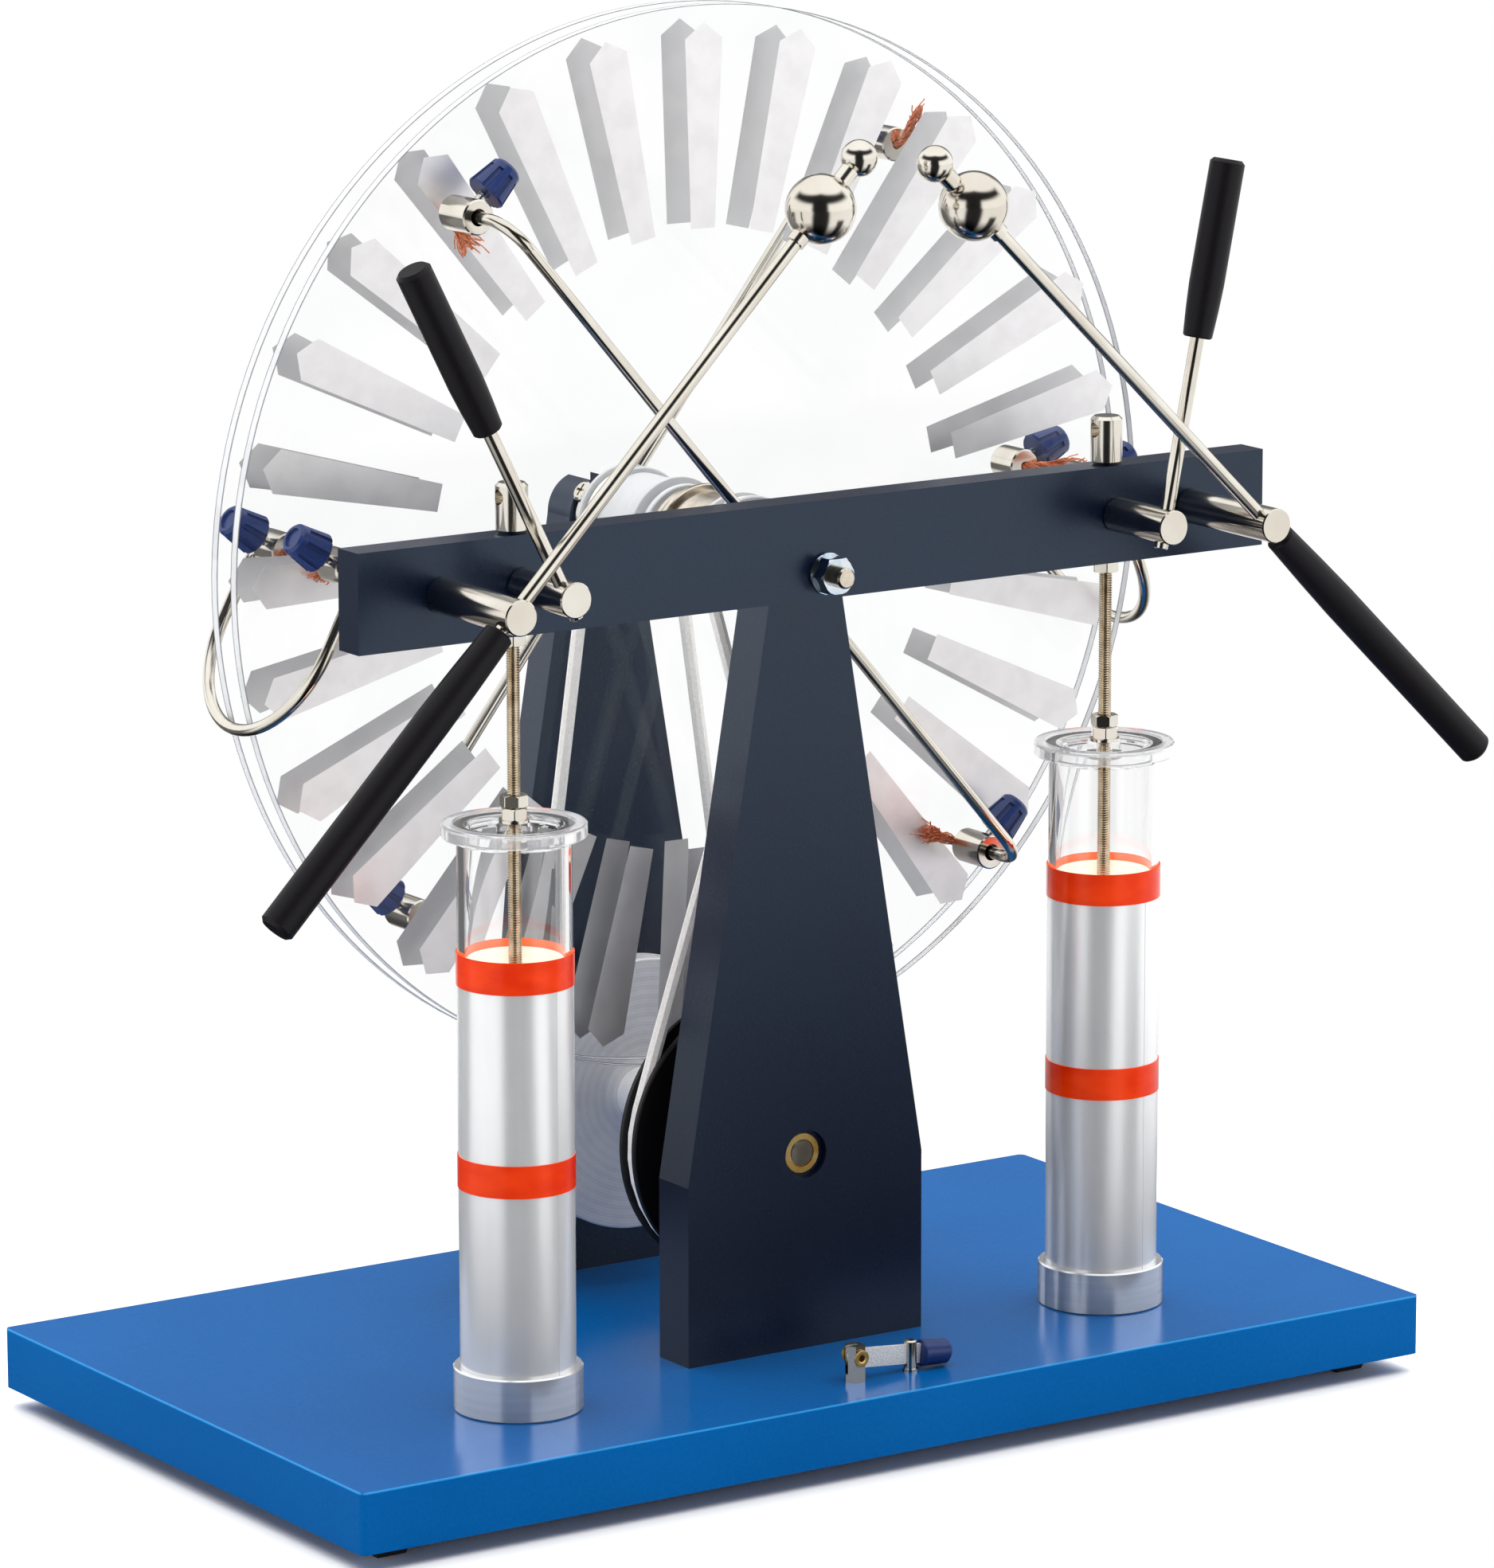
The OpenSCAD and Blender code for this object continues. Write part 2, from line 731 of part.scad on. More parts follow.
module front_belt() {
  color("ivory")
    translate([0, -front_belt_y, shaft_z])
      sweep(crossed_belt_path(), belt_d / 2, belt_sides, true);
}

module rear_belt() {
  color("ivory")
    translate([0, rear_belt_y, shaft_z])
      sweep(open_belt_path(), belt_d / 2, belt_sides, true);
}

// Pulley with a round groove, from z = 0 to its width
module pulley(r, bore_r, pitch_r) {
  groove_r = belt_d / 2 + belt_gap;
  rotate_extrude()
    difference() {
      polygon([[bore_r, 0], [r - 0.4, 0], [r, 0.4], [r, pulley_w - 0.4],
        [r - 0.4, pulley_w], [bore_r, pulley_w]]);
      translate([pitch_r, pulley_w / 2])
        circle(groove_r);
      translate([pitch_r, pulley_w / 2 - groove_r])
        square([r, 2 * groove_r]);
    }
}

// Drive shaft, its pulleys and the crank

shaft_front_y = beam_back + 2;
crank_y = rear_outer_y + 6;
shaft_rear_y = crank_y + crank_t;
big_bore = shaft_d / 2 + fit_gap;
pulley_hub_l = 6;

module drive_shaft() {
  color("silver")
    translate([0, shaft_front_y, shaft_z])
      along_y()
        difference() {
          soft_bar(shaft_d / 2, shaft_rear_y - shaft_front_y, 0.4);
          translate([0, 0, shaft_rear_y - shaft_front_y - 10])
            cylinder(r = clamp_r + fit_gap, h = 11);
        }
}

// A large pulley with its hub and grub screw hole, web recessed on the face at z = 0
module drive_pulley_body() {
  difference() {
    union() {
      pulley(big_pulley_d / 2, big_bore, big_pitch_r);
      translate([0, 0, pulley_w])
        soft_tube(shaft_d, big_bore, pulley_hub_l, 0.4);
    }
    translate([0, 0, pulley_w + pulley_hub_l / 2])
      rotate([0, 90, 0])
        cylinder(r = clamp_r, h = shaft_d + 1);
    rotate_extrude()
      polygon([[big_bore - 1, -1], [shaft_d / 2 + 1.8, -1], [shaft_d / 2 + 1.8, 0.8],
        [big_bore - 1, 0.8]]);
  }
}

module front_drive_pulley() {
  color("gainsboro")
    translate([0, -front_belt_y - pulley_w / 2, shaft_z])
      along_y()
        drive_pulley_body();
}

module rear_drive_pulley() {
  color("gainsboro")
    translate([0, rear_belt_y + pulley_w / 2, shaft_z])
      mirror([0, 1, 0])
        along_y()
          drive_pulley_body();
}

// Places the crank's parts, which point straight down at rest
module at_crank() {
  translate([0, crank_y, shaft_z])
    children();
}

module crank_arm() {
  color("silver")
    at_crank()
      difference() {
        along_y()
          linear_extrude(crank_t)
            difference() {
              union() {
                circle(crank_w / 2);
                translate([-crank_w / 2, 0])
                  square([crank_w, crank_r]);
                translate([0, crank_r])
                  circle(crank_w / 2);
              }
              circle(shaft_d / 2 + fit_gap);
              translate([0, crank_r])
                circle(crank_pin_r() + fit_gap);
            }
      }
}

function crank_pin_r() = 2.5;

module crank_screws() {
  color("lightsteelblue") {
    translate([0, shaft_rear_y, shaft_z])
      along_y()
        union() {
          pan_head(shaft_d * 0.9, 2.6);
          translate([0, 0, -8])
            cylinder(r = clamp_r, h = 8);
        }
    at_crank()
      translate([0, 0, -crank_r])
        along_y()
          union() {
            cylinder(r = crank_pin_r(), h = crank_t + crank_handle_l - 6);
            translate([0, 0, crank_t + crank_handle_l - 6])
              pan_head(crank_pin_r() * 1.7, 2.4);
          }
    for (y = [-front_belt_y + pulley_w / 2 + pulley_hub_l / 2,
      rear_belt_y - pulley_w / 2 - pulley_hub_l / 2])
      translate([shaft_d / 2 + fit_gap, y, shaft_z])
        rotate([0, 90, 0])
          cylinder(r = clamp_r - fit_gap, h = shaft_d / 2 - 0.6);
  }
}

// A pan head of radius r that stands h above its seat, with a cross recess
module pan_head(r, h) {
  difference() {
    soft_bar(r, h, 0.6);
    for (a = [0, 90])
      rotate(a)
        translate([-r * 0.6, -0.4, h - 0.9])
          cube([r * 1.2, 0.8, 2]);
  }
}

module crank_handle() {
  bore_r = crank_pin_r() + run_gap;
  r = crank_handle_d / 2;
  l = crank_handle_l;
  color("black")
    at_crank()
      translate([0, crank_t + side_gap, -crank_r])
        along_y()
          rotate_extrude()
            difference() {
              union() {
                polygon([[0, 0], [r - 3, 0], [r - 2, 1], [r - 1.6, 8], [r, l * 0.55],
                  [r, l - 6], [0, l - 6]]);
                translate([0, l - 6])
                  intersection() {
                    union() {
                      square([r - 6, 6]);
                      translate([r - 6, 0])
                        circle(6);
                    }
                    square([r, 6]);
                  }
              }
              translate([-1, -1])
                square([bore_r + 1, l + 2]);
              translate([-1, l - 7])
                square([crank_pin_r() * 1.7 + 1.3, 8]);
            }
}

// Discs

module plate() {
  tube(disc_d / 2, hub_sleeve_r() + fit_gap, disc_t);
}

function hub_sleeve_r() = axle_d / 2 + 4;

module sector_foils() {
  for (i = [0:sector_n - 1])
    rotate(90 - sector_phase - i * 360 / sector_n)
      linear_extrude(foil_t)
        polygon([[sector_inner_r, -sector_inner_w],
          [sector_shoulder_r, -sector_shoulder_w], [sector_tip_r, 0],
          [sector_shoulder_r, sector_shoulder_w], [sector_inner_r, sector_inner_w]]);
}

module front_disc() {
  color([0.9, 0.95, 1, 0.3])
    at_axle(-1)
      translate([0, 0, disc_inner_w])
        plate();
}

module rear_disc() {
  color([0.9, 0.95, 1, 0.3])
    at_axle(1)
      translate([0, 0, disc_inner_w])
        plate();
}

module front_sectors() {
  color("whitesmoke")
    at_axle(-1)
      translate([0, 0, disc_face_w])
        sector_foils();
}

module rear_sectors() {
  color("whitesmoke")
    at_axle(1)
      translate([0, 0, disc_face_w])
        sector_foils();
}

// Hub of one disc: flange, body, sleeve through the disc and clamp ring inside it
module hub_body(pulley_w_mid) {
  bore_r = axle_d / 2 + run_gap;
  body_l = pulley_w_mid - pulley_w / 2 - disc_face_w;
  translate([0, 0, disc_inner_w - hub_nut_t])
    soft_tube(hub_d / 2, hub_sleeve_r() + fit_gap, hub_nut_t, 0.3);
  translate([0, 0, disc_inner_w - hub_nut_t])
    tube(hub_sleeve_r(), bore_r, disc_t + hub_nut_t);
  translate([0, 0, disc_face_w]) {
    soft_tube(hub_flange_d / 2, bore_r, hub_flange_t, 0.3);
    translate([0, 0, hub_flange_t])
      tube(hub_d / 2, bore_r, body_l - hub_flange_t);
    translate([0, 0, body_l])
      tube(hub_sleeve_r(), bore_r, pulley_w);
  }
}

// Small pulley pressed on the hub's outer sleeve
module hub_pulley(pulley_w_mid) {
  translate([0, 0, pulley_w_mid - pulley_w / 2])
    pulley(small_pulley_d / 2, hub_sleeve_r() + fit_gap, small_pitch_r);
}

module front_hub() {
  color("silver")
    at_axle(-1)
      hub_body(front_pulley_w);
}

module rear_hub() {
  color("silver")
    at_axle(1)
      hub_body(rear_pulley_w);
}

module front_hub_pulley() {
  color("ghostwhite")
    at_axle(-1)
      hub_pulley(front_pulley_w);
}

module rear_hub_pulley() {
  color("ghostwhite")
    at_axle(1)
      hub_pulley(rear_pulley_w);
}

// Brush holders, their clamp screws and thumb knobs

holder_w = disc_face_w + holder_gap;
wire_r = wire_d / 2;
braid_d = 2.6;

// A holder that stands along +Z from its brush end, with its clamp screw along +X
module brush_holder(l) {
  difference() {
    soft_bar(holder_d / 2, l, 0.4);
    translate([0, 0, l - wire_depth])
      cylinder(d = holder_bore, h = wire_depth + 1);
    translate([0, 0, -1])
      cylinder(d = braid_d + 0.2, h = l);
    translate([0, 0, l / 2])
      rotate([0, 90, 0])
        cylinder(r = clamp_r + fit_gap, h = holder_d);
  }
  translate([wire_r + fit_gap, 0, l / 2])
    rotate([0, 90, 0])
      cylinder(r = clamp_r, h = holder_d / 2 + knob_gap - wire_r + knob_l / 2);
}

// A fluted knob on the clamp screw of a holder of length l
module thumb_knob(l) {
  lean = atan((knob_d - knob_cap_d) / 2 / knob_l);
  flute_r = 0.9;
  translate([holder_d / 2 + knob_gap, 0, l / 2])
    rotate([0, 90, 0])
      difference() {
        rotate_extrude()
          polygon([[0, 0], [knob_d / 2 - 0.5, 0], [knob_d / 2, 0.6],
            [knob_cap_d / 2, knob_l - 0.8], [knob_cap_d / 2 - 0.8, knob_l],
            [knob_cap_d / 2 - 1.6, knob_l], [knob_cap_d / 2 - 1.9, knob_l - 0.7],
            [0, knob_l - 0.7]]);
        translate([0, 0, -1])
          cylinder(r = clamp_r + fit_gap, h = 1 + knob_l / 2 + 0.2);
        for (i = [0:knob_flutes - 1])
          rotate(i * 360 / knob_flutes)
            translate([knob_d / 2 + 0.25, 0, -1])
              rotate([0, -lean, 0])
                cylinder(r = flute_r, h = knob_l * 0.86, $fn = 24);
      }
}

// Puts a neutraliser's holder at its radius, with the knob to one side of the rod
module at_neutral_holder(a, turn) {
  rotate(a)
    translate([neutral_r, 0, holder_w])
      rotate(turn)
        children();
}

// The two knobs of a neutraliser point the same way, across the rod
// Both rods of a neutraliser pass the axle's middle on the same side
module beside_axle(a, side) {
  rotate(a)
    translate([0, side * neutral_offset, 0])
      rotate(-a)
        children();
}

module neutral_pair(a, turn) {
  at_neutral_holder(a, turn)
    children();
  at_neutral_holder(a + 180, turn + 180)
    children();
}

// One half of a neutraliser rod: radial, bent outward into its holder
module neutral_half_rod(collar_mid_w) {
  start_r = axle_d / 2 + 1;
  bend = neutral_bend;
  tip_w = holder_w + holder_l - wire_depth + 0.5;
  translate([start_r, 0, collar_mid_w])
    rotate([0, 90, 0])
      cylinder(r = wire_r, h = neutral_r - bend - start_r);
  translate([neutral_r - bend, 0, collar_mid_w - bend])
    rotate([90, 0, 0])
      rotate_extrude(angle = 90)
        translate([bend, 0])
          circle(wire_r);
  translate([neutral_r, 0, tip_w])
    cylinder(r = wire_r, h = collar_mid_w - bend - tip_w);
}

front_rod_w = disc_y + front_rod_y;
rear_rod_w = rear_rod_y - disc_y;

module neutral_rod(a, mid_w) {
  for (b = [a, a + 180])
    rotate(b)
      neutral_half_rod(mid_w);
}

// The collar that carries a neutraliser on the axle, with its clamp screw
module neutral_collar(a, turn, from_w, to_w, mid, side) {
  l = to_w - from_w - 2 * side_gap;
  difference() {
    translate([0, 0, from_w + side_gap])
      soft_tube(collar_d / 2, axle_d / 2 + run_gap, l, 0.5);
    rotate(a)
      translate([0, side * neutral_offset, mid])
        rotate([0, 90, 0])
          cylinder(r = wire_r + fit_gap, h = 2 * collar_d, center = true);
    rotate(a + turn)
      translate([axle_d / 2, 0, mid])
        rotate([0, 90, 0])
          cylinder(r = clamp_r + fit_gap, h = collar_d);
  }
  rotate(a + turn)
    translate([axle_d / 2 + side_gap, 0, mid])
      rotate([0, 90, 0])
        union() {
          cylinder(r = clamp_r, h = collar_d / 2 - axle_d / 2 + 2.5);
          translate([0, 0, collar_d / 2 - axle_d / 2 + 2.5])
            pan_head(3.2, 2.4);
        }
}

module front_neutral_collar() {
  color("silver")
    at_axle(-1)
      neutral_collar(front_neutral_a, 90, front_pulley_w + pulley_w / 2,
        front_collar_w - collar_washer_t, front_rod_w, -1);
}

module rear_neutral_collar() {
  color("silver")
    at_axle(1)
      neutral_collar(rear_neutral_a, 90, rear_pulley_w + pulley_w / 2,
        rear_collar_w - collar_washer_t, rear_rod_w, 1);
}

module front_neutral_rod() {
  color("silver")
    at_axle(-1)
      beside_axle(front_neutral_a, -1)
        neutral_rod(front_neutral_a, front_rod_w);
}

module rear_neutral_rod() {
  color("silver")
    at_axle(1)
      beside_axle(rear_neutral_a, 1)
        neutral_rod(rear_neutral_a, rear_rod_w);
}

module front_neutral_holders() {
  color("silver")
    at_axle(-1)
      beside_axle(front_neutral_a, -1)
        neutral_pair(front_neutral_a, -90)
          brush_holder(holder_l);
}

module rear_neutral_holders() {
  color("silver")
    at_axle(1)
      beside_axle(rear_neutral_a, 1)
        neutral_pair(rear_neutral_a, 90)
          brush_holder(holder_l);
}

module front_neutral_knobs() {
  color("midnightblue")
    at_axle(-1)
      beside_axle(front_neutral_a, -1)
        neutral_pair(front_neutral_a, -90)
          thumb_knob(holder_l);
}

module rear_neutral_knobs() {
  color("midnightblue")
    at_axle(1)
      beside_axle(rear_neutral_a, 1)
        neutral_pair(rear_neutral_a, 90)
          thumb_knob(holder_l);
}

// A copper braid from inside a holder's brush end towards the disc, then sideways
module braid(l, sideways) {
  steps = 9;
  root = 3.5;
  reach = holder_gap - braid_d / 2 - foil_t - 0.35;
  path = [for (i = [0:steps])
    let (t = i / steps)
    i < 3 ? [0, 0, root * (1 - i / 2)] :
    [sideways[0] * l * (1 - cos(90 * (i - 2) / (steps - 2))),
      sideways[1] * l * (1 - cos(90 * (i - 2) / (steps - 2))),
      -reach * sin(90 * (i - 2) / (steps - 2))]];
  radii = [for (i = [0:steps]) braid_d / 2 * (i < 6 ? 1 : 1 - 0.12 * (i - 5))];
  sweep(path, radii, 8, false);
}

module front_neutral_brushes() {
  color("chocolate")
    at_axle(-1)
      beside_axle(front_neutral_a, -1) {
        at_neutral_holder(front_neutral_a, -90)
          braid(12, [0.33, -0.94]);
        at_neutral_holder(front_neutral_a + 180, 90)
          braid(16, [-0.5, 0.87]);
      }
}

module rear_neutral_brushes() {
  color("chocolate")
    at_axle(1)
      beside_axle(rear_neutral_a, 1) {
        at_neutral_holder(rear_neutral_a, 90)
          braid(12, [-0.12, -0.99]);
        at_neutral_holder(rear_neutral_a + 180, 270)
          braid(9, [-0.8, 0.6]);
      }
}

// Collectors: a U-shaped rod round the edge of both discs, a holder at each end

collector_leg_w = holder_w + collector_holder_l + collector_bend + 0.3;

// Puts a collector's parts at the right-hand holder, with X along the rod's legs
module at_collector(turn) {
  translate([spark_x, beam_rise, 0])
    rotate(turn)
      children();
}

module collector_half_rod() {
  tip_w = holder_w + collector_holder_l - wire_depth + 1.5;
  bend = collector_bend;
  turn_r = collector_leg_w;
  translate([0, 0, tip_w])
    cylinder(r = wire_r, h = collector_leg_w - bend - tip_w);
  translate([bend, 0, collector_leg_w - bend])
    rotate([90, 0, 180])
      rotate_extrude(angle = 90)
        translate([bend, 0])
          circle(wire_r);
  translate([bend, 0, collector_leg_w])
    rotate([0, 90, 0])
      cylinder(r = wire_r, h = collector_drop - turn_r - bend);
  translate([collector_drop - turn_r, 0, 0])
    rotate([90, 0, 0])
      rotate_extrude(angle = 90)
        translate([turn_r, 0])
          circle(wire_r);
}

stud_front = 14;

// The stud through the beam, on which an electrode turns, runs back to the rod's bend
module collector_rods() {
  stud_y = beam_front - stud_front;
  stud_end = disc_y - collector_leg_w + collector_bend * 0.6;
  color("silver")
    both_sides()
      union() {
        for (side = [-1, 1])
          at_axle(side)
            at_collector(-collector_a)
              collector_half_rod();
        translate([spark_x, stud_y, beam_z])
          along_y()
            cylinder(r = stud_r, h = stud_end - stud_y);
      }
}

// The four collector holders, with their knobs pointing outward
module each_collector_holder() {
  at_collector_holders(right_knob_a)
    children();
  mirror([1, 0, 0])
    at_collector_holders(left_knob_a)
      children();
}

// The front and rear holder at the right, turned so that their knobs point along a
module at_collector_holders(a) {
  for (side = [-1, 1])
    at_axle(side)
      at_collector(a)
        translate([0, 0, holder_w])
          children();
}

module collector_holders() {
  color("silver")
    each_collector_holder()
      brush_holder(collector_holder_l);
}

module collector_knobs() {
  color("midnightblue")
    each_collector_holder()
      thumb_knob(collector_holder_l);
}

module collector_brushes() {
  color("chocolate") {
    at_collector_holders(right_knob_a)
      braid(19, [0.88, -0.47]);
    mirror([1, 0, 0])
      at_collector_holders(left_knob_a)
        braid(7, [-0.53, -0.85]);
  }
}

// Spark electrodes and jar levers, built at the right and turned about their posts

function lever_stud_r() = 2;
function lever_stud_l() = beam_t / 2 - jar_rod_d / 2 - 0.4;

// A post along -Y, just clear of the beam's face, with a rod hole across its end
module post(l) {
  rotate([90, 0, 0])
    difference() {
      translate([0, 0, side_gap])
        soft_bar(post_d / 2, l - side_gap, 0.35);
      translate([0, 0, l - post_hole_in])
        rotate([90, 0, 0])
          cylinder(d = rod_d + 2 * fit_gap, h = post_d + 2, center = true);
    }
}

// A matte handle from z = 0 to l, necked where the rod enters at the end z = 0
module handle(l) {
  r = handle_d / 2;
  neck = handle_neck_d / 2;
  difference() {
    rotate_extrude()
      polygon([[0, 0], [neck - 0.5, 0], [neck, 0.5], [r - 0.3, l * 0.16], [r, l * 0.3],
        [r, l - 1], [r - 1, l], [0, l]]);
    translate([0, 0, -1])
      cylinder(d = rod_d + 2 * fit_gap, h = handle_grip + 1);
  }
}

handle_grip = 16;
handle_start = post_d / 2 + 0.9;

module spark_rod() {
  neck_r = neck_d / 2;
  big_r = big_ball_d / 2;
  small_r = small_ball_d / 2;
  translate([0, 0, -handle_start - handle_grip + 0.5])
    cylinder(d = rod_d, h = ball_r + handle_start + handle_grip);
  translate([0, 0, ball_r - big_r - 2.4])
    cylinder(r = neck_r, h = 4);
  translate([0, 0, ball_r])
    sphere(big_r);
  translate([0, 0, ball_r])
    cylinder(r = neck_r, h = ball_pitch);
  translate([0, 0, ball_r + ball_pitch])
    sphere(small_r);
}

// Places a right-hand electrode; lean is its tilt from the vertical towards the middle
module at_spark(x, lean) {
  translate([x, beam_front, beam_z])
    rotate([0, lean, 0])
      children();
}

module electrode(x, lean) {
  at_spark(x, lean) {
    difference() {
      post(spark_post_l);
      translate([0, -stud_front - 1, 0])
        along_y()
          cylinder(r = stud_r + run_gap, h = stud_front + 2);
    }
    translate([0, -spark_post_l + post_hole_in, 0])
      spark_rod();
  }
}

// Lean that brings an electrode's small ball to its distance from the middle
function spark_lean(ball_x) = asin((spark_x - ball_x) / (ball_r + ball_pitch));
left_lean = spark_lean(left_ball_x);
right_lean = spark_lean(right_ball_x);

module electrode_handle(x, lean) {
  at_spark(x, lean)
    translate([0, -spark_post_l + post_hole_in, -handle_start])
      rotate([180, 0, 0])
        handle(spark_handle_l);
}

module left_electrode() {
  color("silver")
    electrode(-spark_x, left_lean);
}

module right_electrode() {
  color("silver")
    electrode(spark_x, -right_lean);
}

module left_electrode_handle() {
  color("black")
    electrode_handle(-spark_x, left_lean);
}

module right_electrode_handle() {
  color("black")
    electrode_handle(spark_x, -right_lean);
}

module lever(x, lean) {
  translate([x, beam_front, beam_z])
    rotate([0, lean, 0]) {
      post(lever_post_l);
      translate([0, -side_gap - 1, 0])
        along_y()
          cylinder(r = lever_stud_r(), h = side_gap + 1 + lever_stud_l());
      translate([0, -lever_post_l + post_hole_in, -post_d / 2 - lever_stub])
        soft_bar(rod_d / 2, post_d / 2 + lever_stub + lever_rod_l + handle_grip - 0.5, 0.3);
    }
}

module lever_handle(x, lean) {
  translate([x, beam_front, beam_z])
    rotate([0, lean, 0])
      translate([0, -lever_post_l + post_hole_in, lever_rod_l])
        handle(lever_handle_l);
}

module left_lever() {
  color("silver")
    lever(-jar_x, -left_lever_lean);
}

module left_lever_handle() {
  color("black")
    lever_handle(-jar_x, -left_lever_lean);
}

module right_lever() {
  color("silver")
    lever(jar_x, right_lever_lean);
}

module right_lever_handle() {
  color("black")
    lever_handle(jar_x, right_lever_lean);
}

// Jars, their rods and the terminals above them

jar_top = top_z + jar_h;
jar_floor_z = top_z + cup_floor;
jar_r = jar_d / 2;
jar_in_r = jar_r - jar_wall;
lid_r = jar_rim_d / 2 - 3.2;
lid_t = 1.5;
film_t = 0.15;
foil_top = top_z + upper_band_h + band_w / 2;

module at_jars() {
  for (sx = [-1, 1])
    translate([sx * jar_x, jar_y, 0])
      children();
}

module jar_cups() {
  color("silver")
    at_jars()
      translate([0, 0, top_z])
        difference() {
          soft_bar(cup_d / 2, cup_h, 0.4);
          translate([0, 0, cup_floor])
            cylinder(r = jar_r + film_t + 0.15, h = cup_h);
        }
}

module jar_tubes() {
  color([0.9, 0.95, 1, 0.3])
    at_jars()
      rotate_extrude()
        polygon([[0, jar_floor_z], [jar_r, jar_floor_z],
          [jar_r, jar_top - jar_rim_t - 1.6], [jar_r + 0.5, jar_top - jar_rim_t - 0.5],
          [jar_r + 1.6, jar_top - jar_rim_t], [jar_rim_d / 2 - 0.4, jar_top - jar_rim_t],
          [jar_rim_d / 2, jar_top - jar_rim_t + 0.4], [jar_rim_d / 2, jar_top - 0.4],
          [jar_rim_d / 2 - 0.4, jar_top], [lid_r + 0.1, jar_top],
          [lid_r + 0.1, jar_top - lid_t], [jar_in_r, jar_top - lid_t],
          [jar_in_r, jar_floor_z + jar_wall], [0, jar_floor_z + jar_wall]]);
}

module jar_foils() {
  lining_top = foil_top - 1;
  color("silver")
    at_jars() {
      translate([0, 0, jar_floor_z])
        tube(jar_r + 0.05 + film_t, jar_r + 0.05, foil_top - jar_floor_z);
      translate([0, 0, jar_floor_z + jar_wall])
        difference() {
          cylinder(r = jar_in_r - 0.05, h = lining_top - jar_floor_z - jar_wall);
          translate([0, 0, film_t * 2])
            cylinder(r = jar_in_r - 0.05 - film_t, h = lining_top);
        }
    }
}

module jar_tape_bands() {
  r_in = jar_r + film_t + 0.1;
  color("orangered")
    at_jars()
      for (h = [lower_band_h, upper_band_h])
        translate([0, 0, top_z + h])
          tube(r_in + 0.2, r_in, band_w);
}

module jar_lids() {
  color([0.9, 0.95, 1, 0.3])
    at_jars()
      difference() {
        union() {
          translate([0, 0, jar_top - lid_t])
            cylinder(r = lid_r, h = lid_t);
          translate([0, 0, jar_top - lid_t - 3])
            cylinder(r = jar_in_r - 0.1, h = 3);
        }
        translate([0, 0, jar_top - 10])
          cylinder(r = jar_rod_d / 2 + 0.1, h = 12);
        translate([0, 0, jar_top - lid_t - 4])
          tube(jar_in_r - 1.6, jar_rod_d / 2 + 3, 3.5);
      }
}

module jar_rods() {
  bottom = jar_floor_z + jar_wall + 2 * film_t;
  color("darkkhaki")
    at_jars()
      translate([0, 0, bottom])
        soft_bar(jar_rod_d / 2, beam_top + 6 - bottom, 0.4);
}

module jar_nut() {
  hex_nut(jar_nut_af, jar_nut_t, jar_rod_d / 2);
}

module jar_nuts() {
  color("silver")
    at_jars() {
      translate([0, 0, jar_top])
        tube(jar_nut_af * 0.62, jar_rod_d / 2 + fit_gap, 0.8);
      translate([0, 0, jar_top + 0.8])
        jar_nut();
      translate([0, 0, jar_top + 0.8 + jar_nut_t + 0.4])
        rotate(18)
          jar_nut();
      translate([0, 0, beam_bottom - jar_nut_t])
        jar_nut();
      translate([0, 0, jar_floor_z + jar_wall + 2 * film_t])
        tube(jar_nut_af * 0.62, jar_rod_d / 2 + fit_gap, 1);
    }
}

module terminals() {
  color("silver")
    at_jars()
      translate([0, 0, beam_top])
        difference() {
          soft_bar(terminal_d / 2, terminal_h, 0.9);
          translate([0, 0, -1])
            cylinder(r = jar_rod_d / 2 + fit_gap, h = 7.1);
          translate([0, 0, plug_h])
            rotate([0, 90, 0])
              cylinder(d = plug_d, h = terminal_d + 2, center = true);
        }
}

// Knife switch

switch_pivot_z = top_z + switch_pivot_h;
blade_gap = 0.12;
pivot_r = switch_pivot_d / 2;

module switch_posts() {
  color("silver")
    translate([-switch_post_x, -switch_y, top_z]) {
      difference() {
        hex(switch_post_af, switch_post_h);
        translate([-switch_post_af, -blade_t / 2 - blade_gap, 2.4])
          cube([2 * switch_post_af, blade_t + 2 * blade_gap, switch_post_h]);
        translate([0, -switch_post_af, switch_pivot_h])
          along_y()
            cylinder(r = pivot_r + fit_gap, h = 2 * switch_post_af);
      }
      translate([switch_span, 0, 0])
        difference() {
          union() {
            soft_bar(switch_clip_d / 2, switch_clip_h, 0.4);
            cylinder(r = switch_clip_d / 2 + 0.4, h = 0.8);
          }
          translate([-switch_clip_d, -blade_t / 2 - blade_gap, 1.6])
            cube([2 * switch_clip_d, blade_t + 2 * blade_gap, switch_clip_h]);
        }
    }
}

module switch_pivot() {
  l = switch_post_af + 1.6;
  color("goldenrod")
    translate([-switch_post_x, -switch_y - l / 2, switch_pivot_z])
      along_y()
        union() {
          tube(pivot_r, pivot_r - 0.5, l);
          tube(pivot_r + 0.4, pivot_r - 0.5, 0.6);
          translate([0, 0, l - 0.6])
            tube(pivot_r + 0.4, pivot_r - 0.5, 0.6);
        }
}

// Turns a shape that points right from the pivot to the blade's slope at rest
module at_blade() {
  translate([-switch_post_x, -switch_y, switch_pivot_z])
    rotate([0, blade_slope, 0])
      children();
}

blade_l = switch_span + switch_clip_d / 2 + 1.4;

